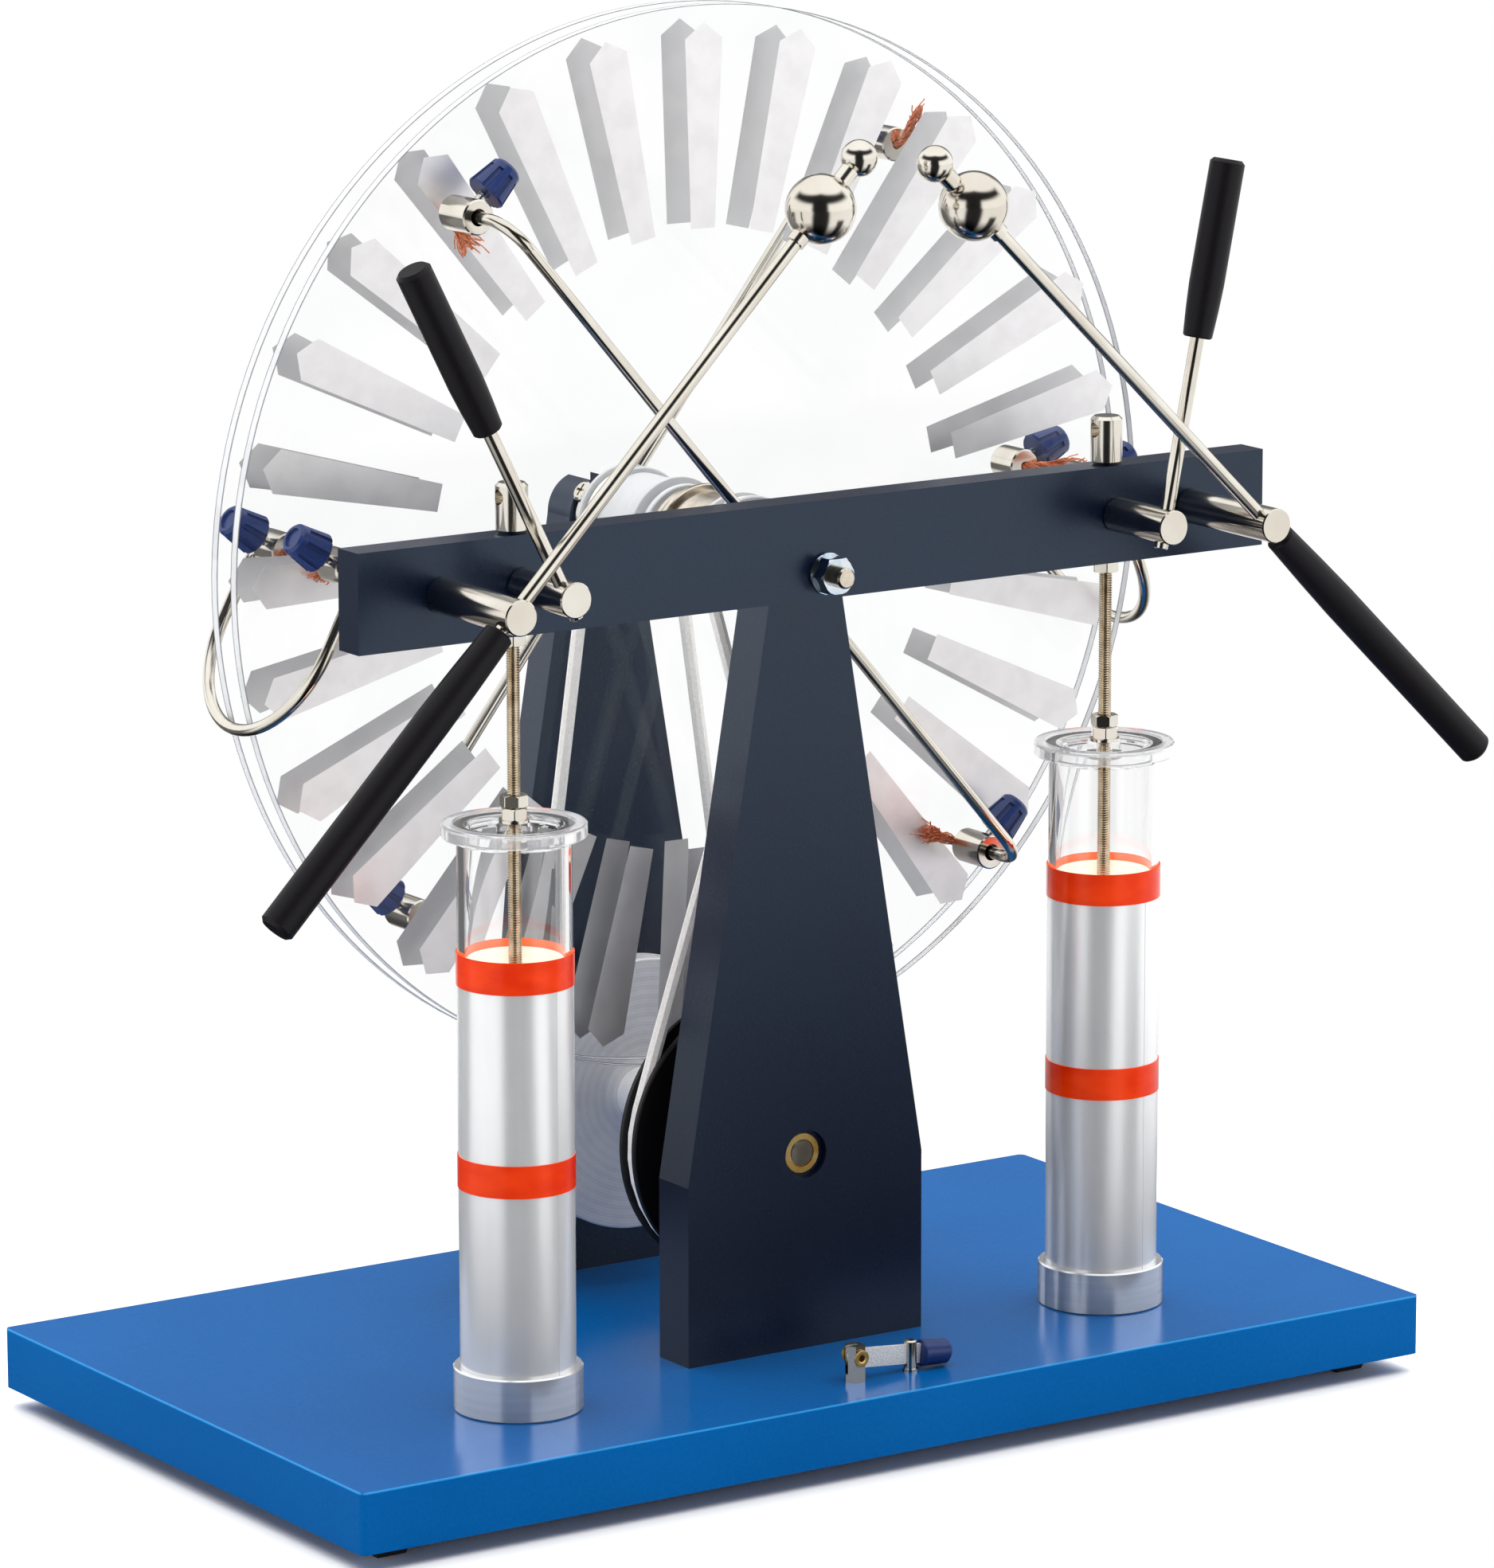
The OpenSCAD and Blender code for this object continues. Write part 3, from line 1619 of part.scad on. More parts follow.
module switch_blade() {
  color("gainsboro")
    at_blade()
      rotate([90, 0, 0])
        linear_extrude(blade_t, center = true)
          difference() {
            union() {
              circle(blade_h / 2 - 0.2);
              translate([0, -blade_h / 2 - 0.6])
                square([blade_l, blade_h]);
              translate([blade_l - 1, -blade_h / 2 + 0.8])
                square([switch_knob_l * 0.6 + 1, blade_h - 2.8]);
            }
            circle(pivot_r + run_gap);
            translate([-blade_h, -blade_h])
              square([blade_h, blade_h * 0.6]);
          }
}

module switch_knob() {
  color("midnightblue")
    at_blade()
      translate([blade_l, 0, -0.6])
        rotate([0, 90, 0])
          difference() {
            rotate_extrude()
              polygon([[0, 0], [switch_knob_d / 2 - 0.3, 0], [switch_knob_d / 2, 0.4],
                [switch_knob_d / 2 - 0.3, switch_knob_l - 1],
                [switch_knob_d / 2 - 1.2, switch_knob_l], [0, switch_knob_l]]);
            translate([-blade_h / 2, -blade_t / 2 - fit_gap, -1])
              cube([blade_h, blade_t + 2 * fit_gap, switch_knob_l * 0.6 + 1.2]);
          }
}

base_board();
rubber_feet();
front_upright();
rear_upright();
frame_screws();
cross_beam();
conductor_nuts();
main_axle();
axle_nuts_and_washers();
shaft_bushes();
front_belt();
rear_belt();
jar_cups();
jar_tubes();
jar_foils();
jar_tape_bands();
jar_lids();
jar_rods();
jar_nuts();
terminals();
collector_rods();
collector_holders();
collector_knobs();
collector_brushes();
switch_posts();
switch_pivot();
drive_shaft();
front_drive_pulley();
rear_drive_pulley();
crank_arm();
crank_screws();
crank_handle();
front_disc();
front_sectors();
front_hub();
front_hub_pulley();
rear_disc();
rear_sectors();
rear_hub();
rear_hub_pulley();
front_neutral_collar();
front_neutral_rod();
front_neutral_holders();
front_neutral_knobs();
front_neutral_brushes();
rear_neutral_collar();
rear_neutral_rod();
rear_neutral_holders();
rear_neutral_knobs();
rear_neutral_brushes();
left_electrode();
left_electrode_handle();
right_electrode();
right_electrode_handle();
left_lever();
left_lever_handle();
right_lever();
right_lever_handle();
switch_blade();
switch_knob();
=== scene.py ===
import json
import math
import random

import bmesh
import bpy
from mathutils import Matrix, Vector


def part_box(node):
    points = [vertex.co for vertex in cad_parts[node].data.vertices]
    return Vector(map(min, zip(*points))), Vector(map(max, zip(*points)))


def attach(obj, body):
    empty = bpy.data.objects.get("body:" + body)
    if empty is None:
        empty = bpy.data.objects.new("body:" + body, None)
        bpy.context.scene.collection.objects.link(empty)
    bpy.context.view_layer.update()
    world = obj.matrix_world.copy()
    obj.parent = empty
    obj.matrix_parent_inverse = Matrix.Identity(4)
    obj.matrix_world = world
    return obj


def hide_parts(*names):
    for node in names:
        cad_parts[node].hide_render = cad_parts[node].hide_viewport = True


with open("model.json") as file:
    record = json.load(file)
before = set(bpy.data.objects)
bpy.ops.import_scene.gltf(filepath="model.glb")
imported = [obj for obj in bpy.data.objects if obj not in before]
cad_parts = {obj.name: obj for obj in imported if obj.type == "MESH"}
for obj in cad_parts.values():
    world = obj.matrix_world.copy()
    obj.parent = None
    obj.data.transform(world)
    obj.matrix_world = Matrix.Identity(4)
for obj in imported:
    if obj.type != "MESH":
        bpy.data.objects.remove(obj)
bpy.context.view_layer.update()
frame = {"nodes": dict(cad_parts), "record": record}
scene = bpy.context.scene
nodes = frame["nodes"]
mm = 0.001


def report(stage):
    print("stage:", stage)


# the photograph's camera, solved from the machine's straight edges; degrees and metres
camera = {
    "place": (-1.26155, -1.91777, 0.65992),
    "azimuth": -33.565,
    "elevation": 11.825,
    "roll": -0.102,
    "lens": 188.06,  # focal length, mm
    "sensor": 36.0,  # on the picture's long side, mm
}


def makeCamera(facts):
    data = bpy.data.cameras.new("camera")
    data.lens = facts["lens"]
    data.sensor_fit = "VERTICAL"
    data.sensor_height = data.sensor_width = facts["sensor"]
    data.clip_end = 50
    body = bpy.data.objects.new("camera", data)
    scene.collection.objects.link(body)
    a, e, r = (math.radians(facts[k]) for k in ("azimuth", "elevation", "roll"))
    back = Vector((math.sin(a) * math.cos(e), -math.cos(a) * math.cos(e), math.sin(e)))
    right = Vector((math.cos(a), math.sin(a), 0))
    up = back.cross(right)
    right, up = (math.cos(r) * right + math.sin(r) * up, math.cos(r) * up - math.sin(r) * right)
    turn = Matrix((right, up, back)).transposed().to_4x4()
    body.matrix_world = Matrix.Translation(facts["place"]) @ turn
    scene.camera = body


makeCamera(camera)
scene.view_settings.view_transform = "Standard"
report("camera")


# helpers for materials
def screen(r, g, b):
    # linear colour of a screen value from 0 to 255
    return tuple(((c / 255 + 0.055) / 1.055) ** 2.4 if c > 10 else c / 3294.6 for c in (r, g, b))


class Wire:
    # one output of a node; sums and products of wires add their Math nodes
    def __init__(self, net, socket):
        self.net, self.socket = net, socket

    def calc(self, operation, *values):
        return self.net.add("Math", {"operation": operation}, dict(enumerate(values)))

    def __add__(self, other):
        return self.calc("ADD", self, other)

    def __radd__(self, other):
        return self.calc("ADD", other, self)

    def __sub__(self, other):
        return self.calc("SUBTRACT", self, other)

    def __rsub__(self, other):
        return self.calc("SUBTRACT", other, self)

    def __mul__(self, other):
        return self.calc("MULTIPLY", self, other)

    def __rmul__(self, other):
        return self.calc("MULTIPLY", other, self)

    def __pow__(self, other):
        return self.calc("POWER", self, other)

    def __abs__(self):
        return self.calc("ABSOLUTE", self)

    def most(self, other):
        return self.calc("MAXIMUM", self, other)

    def least(self, other):
        return self.calc("MINIMUM", self, other)

    def ramp(self, start, end, low=0.0, high=1.0):
        # eased step from low to high as the wire goes from start to end
        return self.net.add(
            "MapRange",
            {"interpolation_type": "SMOOTHSTEP"},
            {"Value": self, "From Min": start, "From Max": end, "To Min": low, "To Max": high},
        )


class Net:
    # the node tree of a material or world
    def __init__(self, owner):
        owner.use_nodes = True
        self.tree = owner.node_tree
        self.tree.nodes.clear()

    def add(self, kind, settings=None, sockets=None, out=0):
        made = self.tree.nodes.new("ShaderNode" + kind)
        for name, value in (settings or {}).items():
            setattr(made, name, value)
        for name, value in (sockets or {}).items():
            self.plug(made.inputs[name], value)
        return Wire(self, made.outputs[out]) if made.outputs else made

    def plug(self, socket, value):
        if isinstance(value, Wire):
            self.tree.links.new(value.socket, socket)
        elif isinstance(value, (tuple, list)) and len(value) == 3 and socket.type == "RGBA":
            socket.default_value = (*value, 1)
        else:
            socket.default_value = value

    def blend(self, factor, first, second):
        # mix of two colours
        return self.add("Mix", {"data_type": "RGBA"}, {0: factor, 6: first, 7: second}, out=2)

    def place(self):
        return self.add("TexCoord", out="Object")

    def parts(self, vector):
        split = self.add("SeparateXYZ", None, {0: vector}).socket.node
        return [Wire(self, s) for s in split.outputs]

    def rays(self, name):
        # 1 for rays of the named kind and 0 for all others
        return Wire(self, self.add("LightPath").socket.node.outputs["Is " + name + " Ray"])

    def bearing(self, vector):
        # angle round the machine in degrees, 0 towards the camera and positive to its right
        swung = self.add(
            "VectorRotate",
            {"rotation_type": "Z_AXIS"},
            {"Vector": vector, "Angle": -math.radians(camera["azimuth"])},
        )
        x, y, _ = self.parts(swung)
        return x.calc("ARCTAN2", x, y * -1.0) * math.degrees(1)

    def around(self, x0, y0=None, z0=None):
        # distance from an axis through (x0, y0, z0) mm, along y where y0 is None, else along z
        x, y, z = self.parts(self.place())
        first = x - x0 * mm
        second = z - z0 * mm if y0 is None else y - y0 * mm
        return (first * first + second * second) ** 0.5

    def noise(self, scale, detail=2.0, stretch=(1, 1, 1)):
        where = self.add("Mapping", None, {"Vector": self.place(), "Scale": stretch})
        return self.add("TexNoise", None, {"Vector": where, "Scale": scale, "Detail": detail})

    def bump(self, height, strength, distance):
        return self.add("Bump", None, {"Height": height, "Strength": strength, "Distance": distance})

    def coat(self, **sockets):
        names = {k.replace("_", " "): v for k, v in sockets.items()}
        return self.add("BsdfPrincipled", None, names)

    def surface(self, shader):
        self.add("OutputMaterial", None, {"Surface": shader})


finishes = {}


def finish(slot):
    # registers a function that fills the node tree of one material slot
    def wrap(fill):
        material = bpy.data.materials.new(slot)
        net = Net(material)
        net.surface(fill(net))
        finishes[slot] = material
        return fill

    return wrap


white = (1.0, 1.0, 1.0)
black = (0.0, 0.0, 0.0)

# light: a white tent with a dark slit for the camera, and a pale floor; angles in degrees
tent = {
    "level": 1.5,  # of the lit cloth
    "gloss": 0.75,  # share of it that reflections show
    "roof": 1.0,  # how much more light comes from the overhead cloth
    "dark": 0.02,  # of the parts that aren't lit
    "slit": (20, 33),  # half width of the dark slit in front
    "slitTurn": -2,  # where its middle stands, to the right of the camera
    "bar": (15, 29, 52, 64),  # dark bar below the overhead cloth: elevations of its two soft edges
    "droop": 0.19,  # how fast the overhead cloth comes down towards the sides
    "barEnds": (95, 120),  # where the bar fades out at the sides
    "rearDim": (140, 160, 36, 26, 0.86),  # patch low behind: its edges beside and above, how dim
}
floor = {
    "radius": 14.0,  # metres, like all lengths here
    "sides": 96,
    "half": (0.18, 0.10),  # half the length and width of the board that stands on it
    "shadow": (0.01, 0.12),  # reach of the shadow that the camera sees round the board
    "mirrored": (0.04, 0.40),  # where the floor goes from dark to white in reflections
    "slitTurn": 2,  # middle of the slit's dark trail on the floor
    # dark cards on the floor: four angles of the two edges, where they fade out, how dark
    "cards": ((50, 60, 76, 86, 0.45, 0.72, 0.95), (-150, -132, -96, -82, 2.0, 3.0, 0.85)),
    "lit": 0.86,  # share of the light that the paper gives back to the machine
    "dark": (0.03, 0.02),  # how bright reflections show it at the board's edge and in the slit's trail
}


def makeTent(facts):
    world = bpy.data.worlds.new("tent")
    scene.world = world
    net = Net(world)
    way = net.add("TexCoord", out="Generated")
    turn = net.bearing(way)
    aside = abs(turn)
    _, _, z = net.parts(way)
    height = z.calc("ARCSINE", z) * math.degrees(1)
    low0, low1, high0, high1 = facts["bar"]
    overhead = (height + aside * facts["droop"]).ramp(high0, high1)
    sides = abs(turn - facts["slitTurn"]).ramp(*facts["slit"]) * height.ramp(low1, low0)
    rear = aside.ramp(*facts["barEnds"])
    wide0, wide1, high, low, dim = facts["rearDim"]
    patch = aside.ramp(wide0, wide1) * height.ramp(high, low) * dim
    cloth = overhead.most(sides).most(rear) * (1.0 - patch)
    lit = cloth * (facts["level"] - facts["dark"]) + facts["dark"]
    seen = net.rays("Camera").most(net.rays("Transmission"))
    glossy = net.rays("Glossy")
    share = glossy * facts["gloss"] + (1.0 - glossy) * (overhead * facts["roof"] + 1.0)
    strength = seen + lit * share * (1.0 - seen)
    light = net.add("Background", None, {"Color": white, "Strength": strength})
    net.add("OutputWorld", None, {"Surface": light})


def makeFloor(facts):
    mesh = bpy.data.meshes.new("floor")
    shape = bmesh.new()
    bmesh.ops.create_circle(shape, cap_ends=True, segments=facts["sides"], radius=facts["radius"])
    shape.to_mesh(mesh)
    shape.free()
    ground = bpy.data.objects.new("floor", mesh)
    scene.collection.objects.link(ground)
    material = bpy.data.materials.new("floor")
    net = Net(material)
    x, y, _ = net.parts(net.place())
    outX = (abs(x) - facts["half"][0]).most(0.0)
    outY = (abs(y) - facts["half"][1]).most(0.0)
    reach = (outX * outX + outY * outY) ** 0.5
    away = reach.ramp(*facts["shadow"])
    turn = net.bearing(net.place())
    cards = 1.0
    for start, full, drop, end, near, far, dark in facts["cards"]:
        card = turn.ramp(start, full) * turn.ramp(end, drop) * reach.ramp(far, near)
        cards = cards * (1.0 - card * dark)
    edgeDark, slitDark = facts["dark"]
    slit = abs(turn - facts["slitTurn"]).ramp(*tent["slit"], slitDark, 1.0)
    mirrored = reach.ramp(*facts["mirrored"], edgeDark, 1.0) * slit * cards
    glossy = net.rays("Glossy")
    straight = net.rays("Camera").most(net.rays("Transmission"))
    paper = net.blend(straight, (facts["lit"],) * 3, white)
    diffuse = net.add("BsdfDiffuse", None, {"Color": paper})
    strength = straight + glossy * (1.0 - straight) * mirrored
    glow = net.add("Emission", None, {"Color": white, "Strength": strength})
    factor = (straight * away).most(glossy)
    net.surface(net.add("MixShader", None, {0: factor, 1: diffuse, 2: glow}))
    ground.data.materials.append(material)


makeTent(tent)
makeFloor(floor)
report("light")


# sizes that the finishes and the added pieces share, in mm
jars = {
    "x": 100.0,  # the left one is at -x
    "y": -51.6,
    "ground": (16.75, 16.95),  # radius where clear tube passes into ground rim
    "inside": (14.5, 15.5),  # radii between the inner foil and the outer one
    "tape": (16.28, 16.32),  # radii between the tape's inside and its outside
}
board = {
    "corners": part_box("base_board"),  # metres
    "edgeHighlight": (0.6, 0.3),  # from the side, where the painted highlight starts and where it is full
    "edgeHighlightTop": (0.6, 0.25),  # the same from the top
}


@finish("blue_enamel")
def blueEnamel(net):
    # coarse and fine grain of the sprayed paint
    grain = net.noise(900, 3)
    speck = net.noise(3500, 2)
    cloud = net.noise(9, 3)
    tone = (grain * 0.4 + speck * 0.2 + cloud * 0.4).ramp(0.35, 0.65)
    colour = net.blend(tone, (0.0003, 0.094, 0.335), (0.0008, 0.118, 0.40))
    # painted shade in reflections: the paint is darker where polished metal mirrors it
    colour = net.blend(net.rays("Glossy"), colour, (0.001, 0.040, 0.13))
    # painted highlight, a lighter blue, on the top edges in front and on the left
    low, high = board["corners"]
    x, y, z = net.parts(net.place())
    start, full = (w * mm for w in board["edgeHighlight"])
    left = (x * -1.0).ramp(-low.x - start, -low.x - full)
    front = (y * -1.0).ramp(-low.y - start, -low.y - full)
    top = z.ramp(*(high.z - w * mm for w in board["edgeHighlightTop"]))
    colour = net.blend(left.most(front) * top, colour, (0.03, 0.30, 0.70))
    return net.coat(
        Base_Color=colour,
        Roughness=0.20 + (grain - 0.5) * 0.08,
        Specular_Tint=(0.05, 0.35, 1.0, 1.0),
        Coat_Weight=0.2,
        Coat_Roughness=0.12,
        Normal=net.bump(grain * 0.6 + speck * 0.4, 0.2, 0.00006),
    )


@finish("anthracite")
def anthracite(net):
    grain = net.noise(2600, 3)
    cloud = net.noise(14, 3)
    colour = net.blend(cloud.ramp(0.3, 0.7), (0.0003, 0.0024, 0.0160), (0.0007, 0.0038, 0.0215))
    return net.coat(
        Base_Color=colour,
        Roughness=0.29 + (grain - 0.5) * 0.1,
        IOR=1.68,
        Specular_Tint=(0.62, 0.80, 1.0, 1.0),
        Normal=net.bump(grain, 0.2, 0.00005),
    )


@finish("black_rubber")
def blackRubber(net):
    grain = net.noise(1500, 4)
    colour = net.blend(grain, screen(18, 18, 20), screen(34, 34, 36))
    return net.coat(
        Base_Color=colour,
        Roughness=0.7 + grain * 0.2,
        Normal=net.bump(grain, 0.4, 0.0001),
    )


@finish("nickel")
def nickel(net):
    smear = net.noise(60, 4)
    fine = net.noise(2200, 2)
    colour = net.blend(smear.ramp(0.3, 0.7), (0.74, 0.69, 0.60), (0.84, 0.80, 0.72))
    return net.coat(
        Base_Color=colour,
        Metallic=1.0,
        Roughness=0.11 + smear * 0.06,
        Normal=net.bump(fine, 0.06, 0.00002),
    )


def smeared(net, scale, dark, light, rough, height, metallic=1.0):
    # bright metal, dulled here and there; rough is its lowest roughness and how far it rises
    smear = net.noise(scale, 3)
    return net.coat(
        Base_Color=net.blend(smear.ramp(0.3, 0.7), dark, light),
        Metallic=metallic,
        Roughness=rough[0] + smear * rough[1],
        Normal=net.bump(smear, height, 0.00005),
    )


@finish("zinc")
def zinc(net):
    return smeared(net, 220, (0.56, 0.66, 0.76), (0.80, 0.86, 0.90), (0.07, 0.08), 0.06)


@finish("satin_steel")
def satinSteel(net):
    return smeared(net, 260, (0.68, 0.60, 0.49), (0.82, 0.75, 0.65), (0.16, 0.1), 0.12)


@finish("thread_nickel")
def threadNickel(net):
    # yellowed nickel of the jars' threaded rods
    return smeared(net, 260, (0.66, 0.54, 0.38), (0.86, 0.75, 0.58), (0.18, 0.12), 0.12)


@finish("brass")
def brass(net):
    return smeared(net, 260, (0.78, 0.48, 0.12), (0.92, 0.66, 0.26), (0.24, 0.1), 0.15, 0.9)


@finish("ivory_cord")
def ivoryCord(net):
    grain = net.noise(1200, 3)
    colour = net.blend(grain.ramp(0.3, 0.7), (0.86, 0.84, 0.80), (0.96, 0.945, 0.92))
    return net.coat(
        Base_Color=colour,
        Roughness=0.5 + grain * 0.2,
        Normal=net.bump(grain, 0.3, 0.0001),
    )


pulleys = {
    "shaft": 79.8,  # height of the shaft
    "sway": 0.6,  # how far the marks stray from their circles
    "marks": (2300.0, 7100.0),  # lathe marks, radians per metre
}


def turned(net, dark, light, metallic, rough, depth):
    # lathe-turned metal, its marks round the drive shaft
    out = net.around(0, None, pulleys["shaft"]) + net.noise(35, 2) * (pulleys["sway"] * mm)
    marks = 0.5
    for often in pulleys["marks"]:
        marks = out.calc("SINE", out * often) * 0.25 + marks
    coarse = net.noise(160, 4)
    tone = (marks * 0.35 + coarse * 0.65).ramp(0.25, 0.75)
    return net.coat(
        Base_Color=net.blend(tone, dark, light),
        Metallic=metallic,
        Roughness=rough + coarse * 0.14,
        Normal=net.bump(marks * 0.5 + coarse * 0.5, depth, 0.00008),
    )


@finish("turned_aluminium")
def turnedAluminium(net):
    return turned(net, (0.84, 0.85, 0.86), (1.0, 1.0, 1.0), 0.12, 0.26, 0.6)


@finish("black_aluminium")
def blackAluminium(net):
    return turned(net, screen(7, 7, 9), screen(17, 17, 20), 0.2, 0.40, 0.2)


@finish("brushed_cup")
def brushedCup(net):
    # fine lines round the cup from the lathe
    lines = net.noise(260, 2, (0.3, 0.3, 28))
    wide = net.noise(90, 2, (0.2, 0.2, 8))
    tone = (lines * 0.4 + wide * 0.6).ramp(0.3, 0.7)
    colour = net.blend(tone, (0.84, 0.86, 0.89), (0.94, 0.95, 0.97))
    return net.coat(
        Base_Color=colour,
        Metallic=0.7,
        Roughness=0.08 + wide * 0.08,
        Normal=net.bump(lines, 0.2, 0.00007),
    )


def acrylic(net, frost, frostColour, density):
    # clear where frost is 0, sawn or ground where it is 1
    smudge = net.noise(30, 4)
    clear = net.coat(
        Base_Color=net.blend(smudge.ramp(0.4, 0.6), (0.985, 0.99, 0.99), (1.0, 1.0, 1.0)),
        Roughness=0.004 + smudge * 0.006,
        IOR=density,
        Transmission_Weight=1.0,
    )
    ground = net.coat(Base_Color=frostColour, Roughness=0.35 + smudge * 0.1)
    return net.add("MixShader", None, {0: frost, 1: clear, 2: ground})


discs = {
    "axle": 249.2,  # height of the axle
    "radius": 153.0,
    "middles": (8.45, 19.05),  # of the two discs, along y
    "half": 1.6,  # of their thickness
    "rim": (0.3, 0.1),  # below the radius, where the clear face passes into the sawn rim
    "edge": (0.55, 0.2),  # below the half thickness, where the rim passes into its dark edge
}


@finish("disc_acrylic")
def discAcrylic(net):
    _, y, _ = net.parts(net.place())
    out = net.around(0, None, discs["axle"])
    rim = out.ramp(*((discs["radius"] - w) * mm for w in discs["rim"]))
    first, second = (abs(y - m * mm) for m in discs["middles"])
    edge = first.least(second).ramp(*((discs["half"] - w) * mm for w in discs["edge"]))
    scratch = net.noise(500, 3)
    tone = (edge * 0.94 + scratch * 0.06).ramp(0.05, 0.95)
    return acrylic(net, rim * 0.9, net.blend(tone, (0.72, 0.73, 0.75), (0.20, 0.21, 0.23)), 1.2)


def jarBand(net, band, low=0.0, high=1.0):
    # eased step from low to high between two radii of the nearer jar
    left, right = (net.around(x, jars["y"]) for x in (-jars["x"], jars["x"]))
    return left.least(right).ramp(*(r * mm for r in jars[band]), low, high)


@finish("clear_acrylic")
def clearAcrylic(net):
    # the turned rims of the jars' flanges are ground
    scratch = net.noise(300, 3, (1, 1, 6))
    colour = net.blend(scratch, (0.70, 0.70, 0.72), (0.95, 0.95, 0.96))
    return acrylic(net, jarBand(net, "ground") * 0.35, colour, 1.49)


@finish("clear_lid")
def clearLid(net):
    # glued in, so that its sides don't mirror
    scratch = net.noise(300, 3, (1, 1, 6))
    colour = net.blend(scratch, (0.80, 0.80, 0.81), (0.97, 0.97, 0.98))
    return acrylic(net, jarBand(net, "ground") * 0.3, colour, 1.07)


def sheetFoil(net, dark, light):
    crease = net.noise(120, 5)
    grain = net.noise(900, 3)
    return net.coat(
        Base_Color=net.blend(crease.ramp(0.3, 0.7), dark, light),
        Metallic=0.72,
        Roughness=0.32 + crease * 0.1,
        Normal=net.bump(crease * 0.7 + grain * 0.3, 0.05, 0.0002),
    )


@finish("bright_foil")
def brightFoil(net):
    return sheetFoil(net, (0.90, 0.885, 0.895), (0.98, 0.965, 0.975))


@finish("shaded_rear_foil")
def shadedRearFoil(net):
    # painted shade: a darker copy of the bright foil, for the sectors seen through both discs
    return sheetFoil(net, (0.60, 0.60, 0.61), (0.66, 0.66, 0.67))


@finish("jar_foil")
def jarFoil(net):
    streak = net.noise(350, 2, (1, 1, 0.02))
    dent = net.noise(70, 3, (1, 1, 0.35))
    tone = (streak * 0.35 + dent * 0.65).ramp(0.3, 0.7)
    colour = net.blend(tone, (0.92, 0.925, 0.935), (0.98, 0.985, 0.99))
    # the lining inside is cream, and its emission is a painted glow for light inside the jar
    inside = jarBand(net, "inside", 1.0, 0.0)
    return net.coat(
        Base_Color=net.blend(inside, colour, (0.90, 0.87, 0.80)),
        Metallic=0.58,
        Roughness=0.22 + streak * 0.06,
        Emission_Color=net.blend(inside, black, (0.34, 0.325, 0.29)),
        Emission_Strength=1.0,
        Normal=net.bump(streak * 0.1 + dent * 0.9, 0.15, 0.0004),
    )


@finish("orange_tape")
def orangeTape(net):
    ripple = net.noise(60, 3, (1, 1, 2))
    colour = net.blend(ripple.ramp(0.3, 0.7), (0.70, 0.022, 0.0004), (0.84, 0.042, 0.001))
    # painted glow on the inside, in place of light that comes through the tape
    inside = jarBand(net, "tape", 1.0, 0.0)
    return net.coat(
        Base_Color=colour,
        Roughness=0.16 + ripple * 0.08,
        Specular_Tint=(1.0, 0.55, 0.35, 1.0),
        Emission_Color=net.blend(inside, black, (0.62, 0.12, 0.02)),
        Emission_Strength=1.0,
        Normal=net.bump(ripple, 0.1, 0.0003),
    )


@finish("frosted_nylon")
def frostedNylon(net):
    grain = net.noise(900, 3)
    lathe = net.noise(120, 3, (0.2, 6, 0.2))
    colour = net.blend(grain * 0.5 + lathe * 0.5, (0.50, 0.51, 0.53), (0.68, 0.69, 0.70))
    return net.coat(
        Base_Color=colour,
        Roughness=0.34 + grain * 0.15,
        Normal=net.bump(grain * 0.4 + lathe * 0.6, 0.2, 0.00008),
    )


@finish("blue_plastic")
def bluePlastic(net):
    grain = net.noise(900, 3)
    colour = net.blend(grain, (0.006, 0.020, 0.105), (0.013, 0.038, 0.165))
    return net.coat(
        Base_Color=colour,
        Roughness=0.26 + grain * 0.12,
        Normal=net.bump(grain, 0.12, 0.00005),
    )


@finish("copper")
def copper(net):
    grain = net.noise(900, 3)
    colour = net.blend(grain.ramp(0.3, 0.7), (0.70, 0.17, 0.06), (0.93, 0.40, 0.22))
    return net.coat(Base_Color=colour, Metallic=0.75, Roughness=0.3 + grain * 0.2)


@finish("black_plastic")
def blackPlastic(net):
    grain = net.noise(1200, 3)
    colour = net.blend(grain, (0.0030, 0.0022, 0.0036), (0.0075, 0.0055, 0.0085))
    return net.coat(
        Base_Color=colour,
        Roughness=0.38 + grain * 0.1,
        Specular_IOR_Level=0.22,
        Normal=net.bump(grain, 0.2, 0.00006),
    )


@finish("blasted_blade")
def blastedBlade(net):
    # grey sand-blasted sheet of the switch blade
    grain = net.noise(2200, 4)
    colour = net.blend(grain.ramp(0.35, 0.65), (0.58, 0.59, 0.60), (0.86, 0.87, 0.88))
    return net.coat(
        Base_Color=colour,
        Metallic=0.3,
        Roughness=0.45 + grain * 0.2,
        Normal=net.bump(grain, 0.5, 0.00012),
    )


report("finishes")

# every node of the frame gets the finish of its slot, or its own finish where one is listed
slotOf = {facts["node"]: facts["material_slot"] for facts in frame["record"]["subparts"]}
ownFinish = {
    "front_disc": "disc_acrylic",
    "rear_disc": "disc_acrylic",
    "jar_cups": "brushed_cup",
    "jar_nuts": "nickel",
    "jar_lids": "clear_lid",
    "switch_blade": "blasted_blade",
}
seeThrough = ("front_disc", "rear_disc", "jar_tubes", "jar_lids")
for name, part in nodes.items():
    part.data.materials.clear()
    part.data.materials.append(finishes[ownFinish.get(name, slotOf[name])])
# light on the parts behind the acrylic goes straight through it
for name in seeThrough:
    for ray in ("glossy", "diffuse", "shadow"):
        setattr(nodes[name], "visible_" + ray, False)
report("frame dressed")


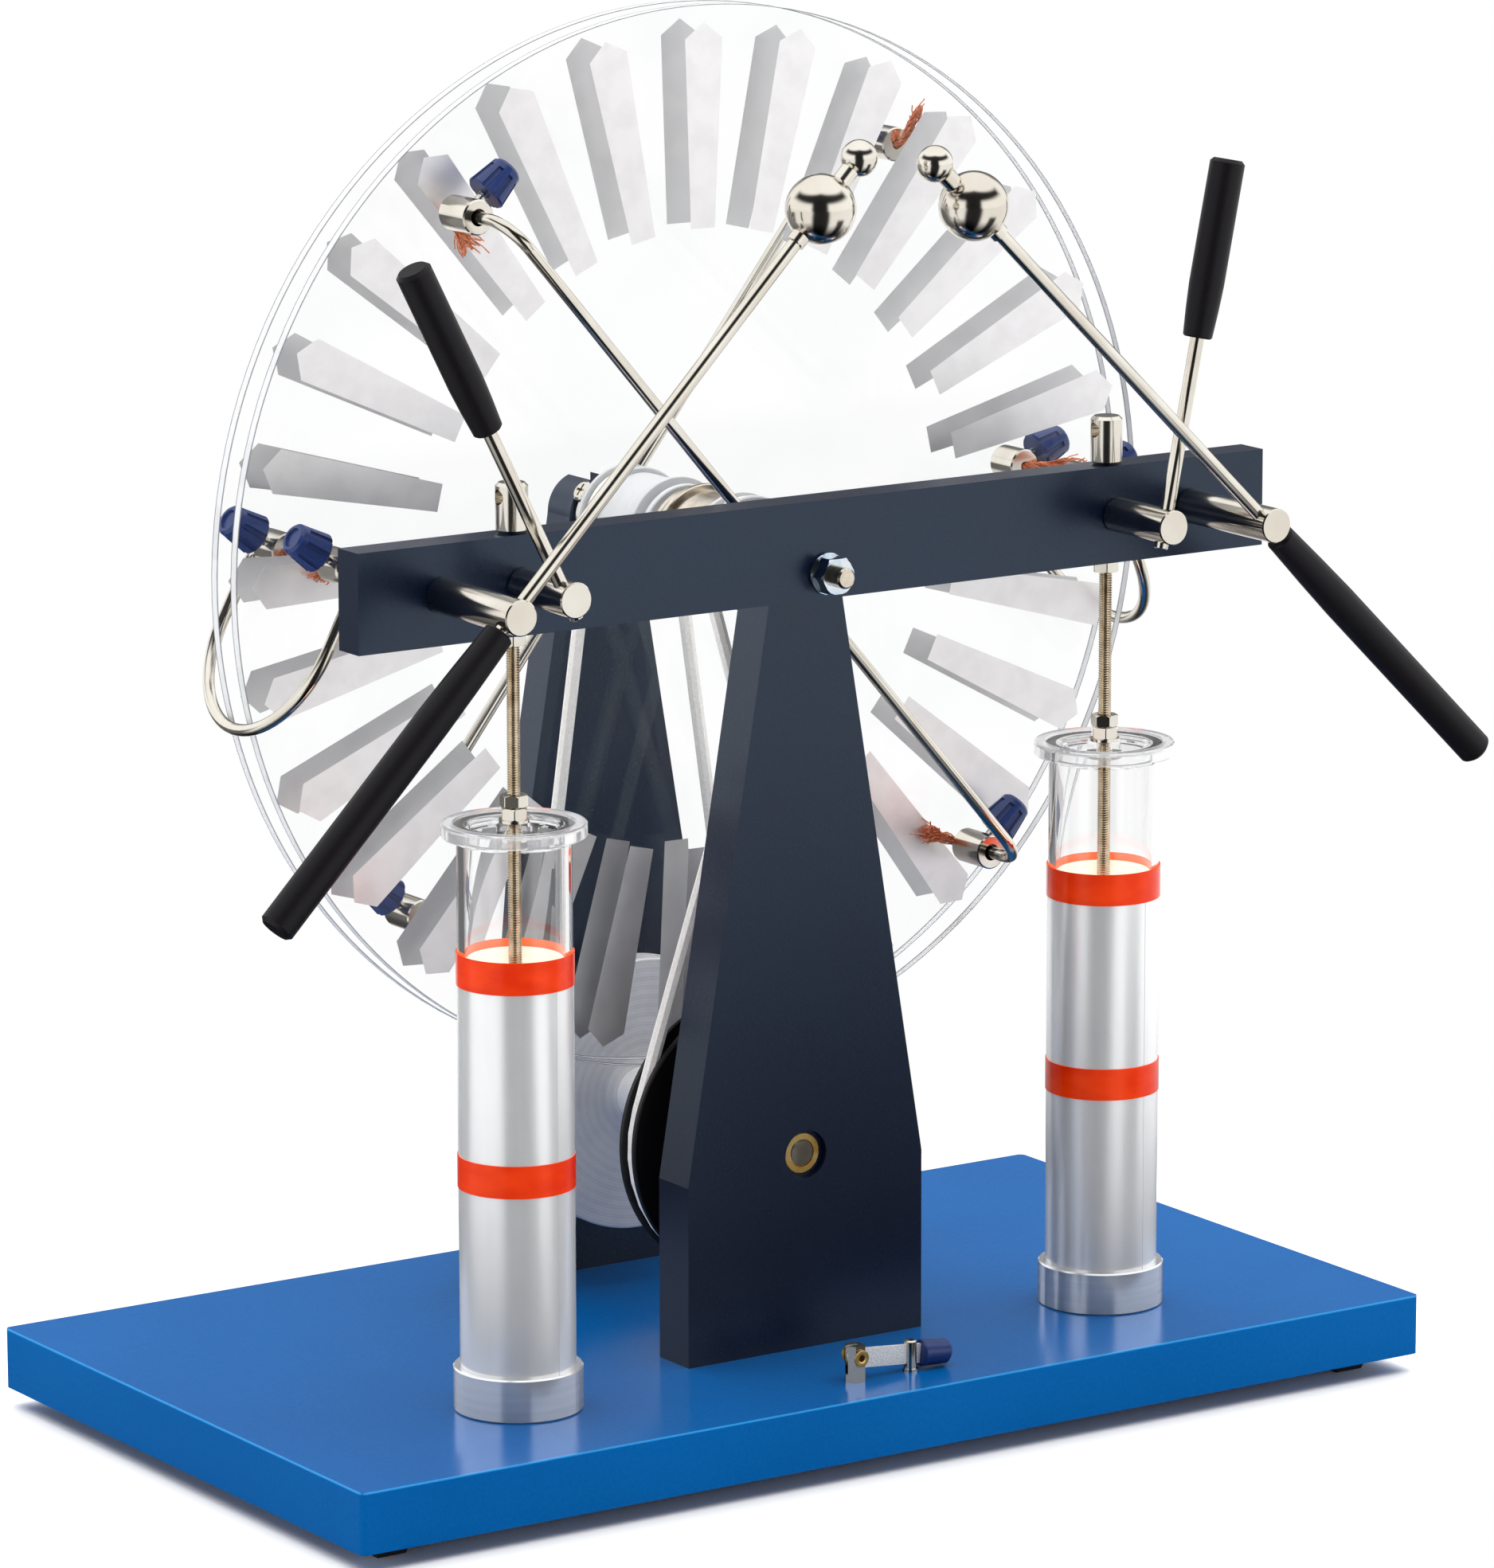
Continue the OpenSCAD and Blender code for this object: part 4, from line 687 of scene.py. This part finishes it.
def newPiece(name, shape, slot, body, *replaced, smooth=40, look=None):
    # turns a bmesh into a piece that rides on a body, with the finish of its slot or its own look
    mesh = bpy.data.meshes.new(name)
    bmesh.ops.recalc_face_normals(shape, faces=shape.faces)
    shape.to_mesh(mesh)
    shape.free()
    piece = bpy.data.objects.new(name, mesh)
    scene.collection.objects.link(piece)
    mesh.materials.append(finishes[look or slot])
    if smooth:
        mesh.shade_smooth()
        mesh.set_sharp_from_angle(angle=math.radians(smooth))
    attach(piece, body)
    if replaced:
        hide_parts(*replaced)


# foil sectors, a hair off the faces of the discs
sectors = {
    "count": 28,
    "phase": 0.5,  # degrees that the first one stands off the vertical
    # distance from the axle and sideways of each corner
    "outline": [(89.6, -4), (143.5, -6.26), (148, 0), (143.5, 6.26), (89.6, 4)],
    "thick": 0.05,
    "gap": 0.015,  # air between the face of the disc and the foil
}


def makeSectors(facts, name, body, face, out, look):
    # face is the disc's face, out the direction away from it along y
    shape = bmesh.new()
    for i in range(facts["count"]):
        turn = math.radians(90 - facts["phase"] - i * 360 / facts["count"])
        rings = []
        for y in (face + out * facts["gap"], face + out * facts["thick"]):
            rings.append([
                shape.verts.new((
                    (r * math.cos(turn) - w * math.sin(turn)) * mm,
                    y * mm,
                    (discs["axle"] + r * math.sin(turn) + w * math.cos(turn)) * mm,
                ))
                for r, w in facts["outline"]
            ])
        low, high = rings
        shape.faces.new(low)
        shape.faces.new(high)
        n = len(low)
        for k in range(n):
            shape.faces.new((low[k], low[(k + 1) % n], high[(k + 1) % n], high[k]))
    newPiece(name + "_foil", shape, "bright_foil", body, name, smooth=0, look=look)


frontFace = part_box("front_disc")[0].y / mm
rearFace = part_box("rear_disc")[1].y / mm
makeSectors(sectors, "front_sectors", "front_wheel", frontFace, -1, "bright_foil")
makeSectors(sectors, "rear_sectors", "rear_wheel", rearFace, 1, "shaded_rear_foil")
report("sectors")


def addTube(shape, path, radii, sides=5):
    # sweeps a ring of vertices along a path, with one radius for each point
    rings = []
    side = None
    for i, point in enumerate(path):
        ahead = (path[min(i + 1, len(path) - 1)] - path[max(i - 1, 0)]).normalized()
        side = ahead.orthogonal() if side is None else side
        side = (side - ahead * side.dot(ahead)).normalized()
        other = ahead.cross(side)
        rings.append([
            shape.verts.new(point + radii[i] * (math.cos(a) * side + math.sin(a) * other))
            for a in (k * math.tau / sides for k in range(sides))
        ])
    closeRings(shape, rings)


def closeRings(shape, rings):
    # skins a row of rings of vertices and closes its two ends
    n = len(rings[0])
    for low, high in zip(rings, rings[1:]):
        for k in range(n):
            shape.faces.new((low[k], low[(k + 1) % n], high[(k + 1) % n], high[k]))
    shape.faces.new(rings[0])
    shape.faces.new(rings[-1])


# copper braids: loose strands from the holders to the discs
braids = {
    "strands": 44,
    "wire": 0.19,  # radius
    "bundle": 1.1,  # radius in the holder
    "inside": 3.2,  # starts this far inside the holder
    "reach": 3.7,  # towards the disc
    "twist": 1.3,  # turns along its length
    "points": 14,
    "straight": 0.2,  # share of its length that lies in the holder
    "cut": (0.72, 1.08),  # least and greatest share of the length that a strand has
    "stray": (0.1, 1.25),  # how often a strand is longer, and how much
    "stop": 1.45,  # how far past the reach a strand can go, because of the disc
    "opens": 0.25,  # share of the bend after which the bundle opens out
    "flare": 1.4,  # how late it opens: power of the way along it
    "flat": (0.9, 0.25),  # height of the bundle to its width, and how much flatter it ends
    "waves": (1.5, 3.5),  # waves along a strand
    "curls": (1.0, 0.25, 0.6),  # their size across, upwards and ahead
    "mouths": {"front": (1.35, 1), "rear": (26.15, -1)},  # y of the holder's end, way to the disc
}


def makeBraids(facts, name, body, brushes, seed):
    # each brush: side, x and z of its holder, direction and length across the disc, fan, curl
    dice = random.Random(seed)
    shape = bmesh.new()
    often, longer = facts["stray"]
    bound, opens = facts["straight"], facts["opens"]
    height, flatter = facts["flat"]
    curlAcross, curlUp, curlAhead = facts["curls"]
    low = facts["reach"] + facts["stop"]
    for side, x, z, way, length, fan, curl in brushes:
        mouth, out = facts["mouths"][side]  # out is the way to the disc along y
        ahead = Vector((way[0], 0, way[1])).normalized()
        across = Vector((-ahead.z, 0, ahead.x))
        depth = Vector((0, out, 0))
        for _ in range(facts["strands"]):
            rho = facts["bundle"] * math.sqrt(dice.random())
            start = dice.uniform(0, math.tau)
            drift = dice.uniform(-1, 1)
            stretch = dice.uniform(*facts["cut"]) * (longer if dice.random() < often else 1.0)
            phases = [dice.uniform(0, math.tau) for _ in range(3)]
            waves = [dice.uniform(*facts["waves"]) for _ in range(3)]
            path = []
            for i in range(facts["points"]):
                t = i / (facts["points"] - 1)
                u = max(0.0, (t - bound) / (1 - bound))
                lean = u * math.pi / 2
                if t < bound:
                    centre = depth * (-facts["inside"] * (1 - t / bound))
                else:
                    centre = ahead * (length * stretch * (1 - math.cos(lean)))
                    centre += depth * (facts["reach"] * math.sin(lean))
                angle = start + t * math.tau * facts["twist"]
                # the bundle's cross-section turns with its path and opens out at the end
                normal = ahead * -math.cos(lean) + depth * math.sin(lean)
                spread = max(0.0, u - opens) / (1 - opens)
                aside = rho * math.cos(angle) + drift * fan * spread ** facts["flare"]
                above = rho * math.sin(angle) * (1 - flatter * spread)
                wobble = [
                    math.sin(p + w * math.tau * t) * curl * spread for p, w in zip(phases, waves)
                ]
                point = centre + across * (aside + wobble[0] * curlAcross)
                point += normal * (above * height + wobble[1] * curlUp)
                point += ahead * wobble[2] * curlAhead
                if point.y * out > low:
                    point.y = low * out
                path.append((Vector((x, mouth, z)) + point) * mm)
            addTube(shape, path, [facts["wire"] * mm] * len(path))
    newPiece(name + "_strands", shape, "copper", body, name)


makeBraids(braids, "front_neutral_brushes", "front_neutraliser", [
    ("front", -85.27, 350.64, (0.60, -0.80), 14, 3.6, 0.7),
    ("front", 88.59, 150.64, (-0.935, 0.355), 13, 1.7, 1.3),
], 3)
makeBraids(braids, "rear_neutral_brushes", "rear_neutraliser", [
    ("rear", 79.84, 354.97, (0.42, 0.91), 11.5, 1.1, 0.8),
    ("rear", -83.31, 146.15, (0.25, -0.97), 8, 2.2, 0.8),
], 5)
makeBraids(braids, "collector_brushes", "stand", [
    ("front", 126, 256.1, (0.99, -0.10), 17, 1.6, 1.1),
    ("rear", 126, 256.1, (1.0, -0.03), 18, 1.5, 1.1),
    ("front", -126, 256.1, (-0.1, -1), 5, 3.8, 1.3),
    ("rear", -126, 256.1, (-0.1, -1), 5, 3.8, 1.3),
], 7)
report("braids")


# screw threads
def addThread(shape, foot, way, radius, depth, pitch, length, sides, rows=4):
    # a bar with a helical ridge from foot along way, in mm; rows is the number of rings in one turn
    way = Vector(way).normalized()
    first = way.orthogonal().normalized()
    second = way.cross(first)
    rings = []
    for i in range(int(length / pitch * rows) + 1):
        h = i * pitch / rows
        ring = []
        for k in range(sides):
            turn = (i / rows - k / sides) % 1.0
            ridged = 0 < h < length - pitch / rows
            r = radius - depth * (1 - abs(2 * turn - 1)) if ridged else radius - depth
            a = k * math.tau / sides
            out = r * (math.cos(a) * first + math.sin(a) * second)
            ring.append(shape.verts.new((Vector(foot) + way * h + out) * mm))
        rings.append(ring)
    closeRings(shape, rings)


threads = {
    "sides": (14, 12),  # round a jar's rod and a clamp screw
    "endSides": 24,
    "jarRod": (28.3, 118.0, 243.0, 276.1),  # bottom, thread from, thread to, top
    "jarRodRadius": 1.99,
    "pitch": 0.7,
    "depth": 0.42,
    "clamp": (5.15, 2.75),  # from the holder's axis, length
    "clampRadius": 1.62,
    "clampPitch": 0.5,
    "clampDepth": 0.3,
    "plain": (0.2, 0.4, 0.3),  # plain ends: reach into the thread, length and drop of the taper
}


def makeJarRods(facts):
    shape = bmesh.new()
    bottom, low, high, top = facts["jarRod"]
    r = facts["jarRodRadius"]
    depth = facts["depth"]
    into, taper, drop = facts["plain"]
    inner = r - depth * 0.5
    for x in (-jars["x"], jars["x"]):
        foot = (x, jars["y"], low)
        addThread(shape, foot, (0, 0, 1), r, depth, facts["pitch"], high - low, facts["sides"][0])
        for start, end in ((bottom, low + into), (high - into, top)):
            heights = (start, start + taper, end - taper, end)
            path = [Vector((x, jars["y"], z)) * mm for z in heights]
            radii = [v * mm for v in (inner - drop, inner, inner, inner - drop)]
            addTube(shape, path, radii, facts["endSides"])
    newPiece(
        "jar_rods_threaded", shape, "satin_steel", "stand", "jar_rods",
        smooth=25, look="thread_nickel",
    )


def makeClampThreads(facts, name, body, holders):
    # each holder: its x and z, the y of its screw and the way that the screw points in x and z
    shape = bmesh.new()
    start, length = facts["clamp"]
    radius, depth, pitch = facts["clampRadius"], facts["clampDepth"], facts["clampPitch"]
    for x, z, y, way in holders:
        way = Vector((way[0], 0, way[1])).normalized()
        foot = Vector((x, y, z)) + way * start
        addThread(shape, foot, way, radius, depth, pitch, length, facts["sides"][1])
    newPiece(name, shape, "zinc", body, smooth=25)


makeJarRods(threads)
makeClampThreads(threads, "front_neutral_clamp_threads", "front_neutraliser", [
    (-85.27, 350.64, -5.3, (0.755, 0.656)), (88.59, 150.64, -5.3, (0.755, 0.656)),
])
makeClampThreads(threads, "rear_neutral_clamp_threads", "rear_neutraliser", [
    (79.84, 354.97, 32.8, (-0.788, 0.616)), (-83.31, 146.15, 32.8, (-0.788, 0.616)),
])
makeClampThreads(threads, "collector_clamp_threads", "stand", [
    (126, 256.1, -4.15, (0.94, 0.342)), (126, 256.1, 31.65, (0.94, 0.342)),
    (-126, 256.1, -4.15, (-0.848, 0.53)), (-126, 256.1, 31.65, (-0.848, 0.53)),
])
report("threads")


# turned rings
def addRing(shape, centre, way, outline, sides=48):
    # turns a closed outline of (radius, distance along way) pairs round an axis
    way = Vector(way).normalized()
    first = way.orthogonal().normalized()
    second = way.cross(first)
    rings = []
    for k in range(sides):
        a = k * math.tau / sides
        out = math.cos(a) * first + math.sin(a) * second
        rings.append([shape.verts.new((Vector(centre) + r * out + h * way) * mm) for r, h in outline])
    n = len(outline)
    for k in range(sides):
        low, high = rings[k], rings[(k + 1) % sides]
        for i in range(n):
            shape.faces.new((low[i], low[(i + 1) % n], high[(i + 1) % n], high[i]))


# seats of the hubs, let a little into the discs, because the hubs show through them
hubSeats = {
    "outer": 16.3,
    "inner": 7.0,
    "clampOuter": 14.8,  # on the clamp ring's side
    "sunk": 0.03,  # how far it goes into the disc
    "proud": 0.2,  # how far it stands back into the hub
    "chamfer": 0.1,
    # faces of each disc: y and the way into the disc
    "faces": {"front": ((6.85, 1), (10.05, -1)), "rear": ((20.65, -1), (17.45, 1))},
}


def makeHubSeats(facts, side):
    # one ring on each face of the disc
    shape = bmesh.new()
    inner, sunk, proud = facts["inner"], facts["sunk"], facts["proud"]
    for (y, way), outer in zip(facts["faces"][side], (facts["outer"], facts["clampOuter"])):
        rim = outer + facts["chamfer"]
        outline = [(inner, -proud), (inner, sunk), (outer, sunk), (rim, 0.0), (rim, -proud)]
        addRing(shape, (0, y, discs["axle"]), (0, way, 0), outline, 64)
    newPiece(side + "_hub_seats", shape, "frosted_nylon", side + "_wheel", smooth=30)


makeHubSeats(hubSeats, "front")
makeHubSeats(hubSeats, "rear")


# overlap of the outer foil of each jar
seams = {
    "foil": 16.2,  # outside radius of the foil
    "ends": (26.2, 148.5),  # its foot and top
    "angles": (-77.6, 30),  # where its outer edge is, and how far it overlaps, degrees
    "steps": 8,
    "thick": 0.09,  # at the outer edge, from where it fades out
    "sunk": 0.02,  # how deep the seam stands in the foil
}


def makeSeams(facts):
    shape = bmesh.new()
    start, overlap = facts["angles"]
    steps = facts["steps"]
    low, high = facts["ends"]
    for x in (-jars["x"], jars["x"]):
        rows = []
        for i in range(steps + 1):
            a = math.radians(start + overlap * i / steps)
            thick = facts["thick"] * (1 - i / (steps + 1))
            for r in (facts["foil"] - facts["sunk"], facts["foil"] + thick):
                foot = (x + r * math.cos(a), jars["y"] + r * math.sin(a))
                rows.append([shape.verts.new(Vector((*foot, z)) * mm) for z in (low, high)])
        inner, outer = rows[0::2], rows[1::2]
        closeRings(shape, [[a[0], a[1], b[1], b[0]] for a, b in zip(inner, outer)])
    newPiece("jar_foil_seams", shape, "jar_foil", "stand", smooth=20)


# rims of the inner foils, up to just below the top of the upper tape
linings = {
    "radii": (13.6, 13.85),
    "ends": (147.0, 151.4),
}


def makeLinings(facts):
    shape = bmesh.new()
    inner, outer = facts["radii"]
    foot, top = facts["ends"]
    outline = [(inner, foot), (inner, top), (outer, top), (outer, foot)]
    for x in (-jars["x"], jars["x"]):
        addRing(shape, (x, jars["y"], 0), (0, 0, 1), outline, 64)
    # these rims lie in the lining band, so they carry its cream colour and its painted glow
    newPiece("jar_lining_rims", shape, "jar_foil", "stand", smooth=30)


# flared brass eyelet on which the blade of the switch turns
eyelet = {
    "centre": (-7.8, -82.7, 30.2),  # of the switch's pivot
    "half": (3.05, 3.15, 3.4, 3.55),  # along y: tube, flange's back, its front, lip
    "radii": (1.0, 1.4, 1.48, 2.4),  # hole, mouth, tube, flange
}


def makeEyelet(facts):
    shape = bmesh.new()
    tube, back, flange, lip = facts["half"]
    hole, mouth, outer, rim = facts["radii"]
    half = [(outer, tube), (rim, back), (rim, flange), (mouth, lip), (hole, flange)]
    outline = half + [(r, -h) for r, h in reversed(half)]
    addRing(shape, facts["centre"], (0, -1, 0), outline)
    newPiece("switch_pivot_eyelet", shape, "brass", "stand", "switch_pivot", smooth=30)


makeEyelet(eyelet)
makeSeams(seams)
makeLinings(linings)
report("rings and seams")
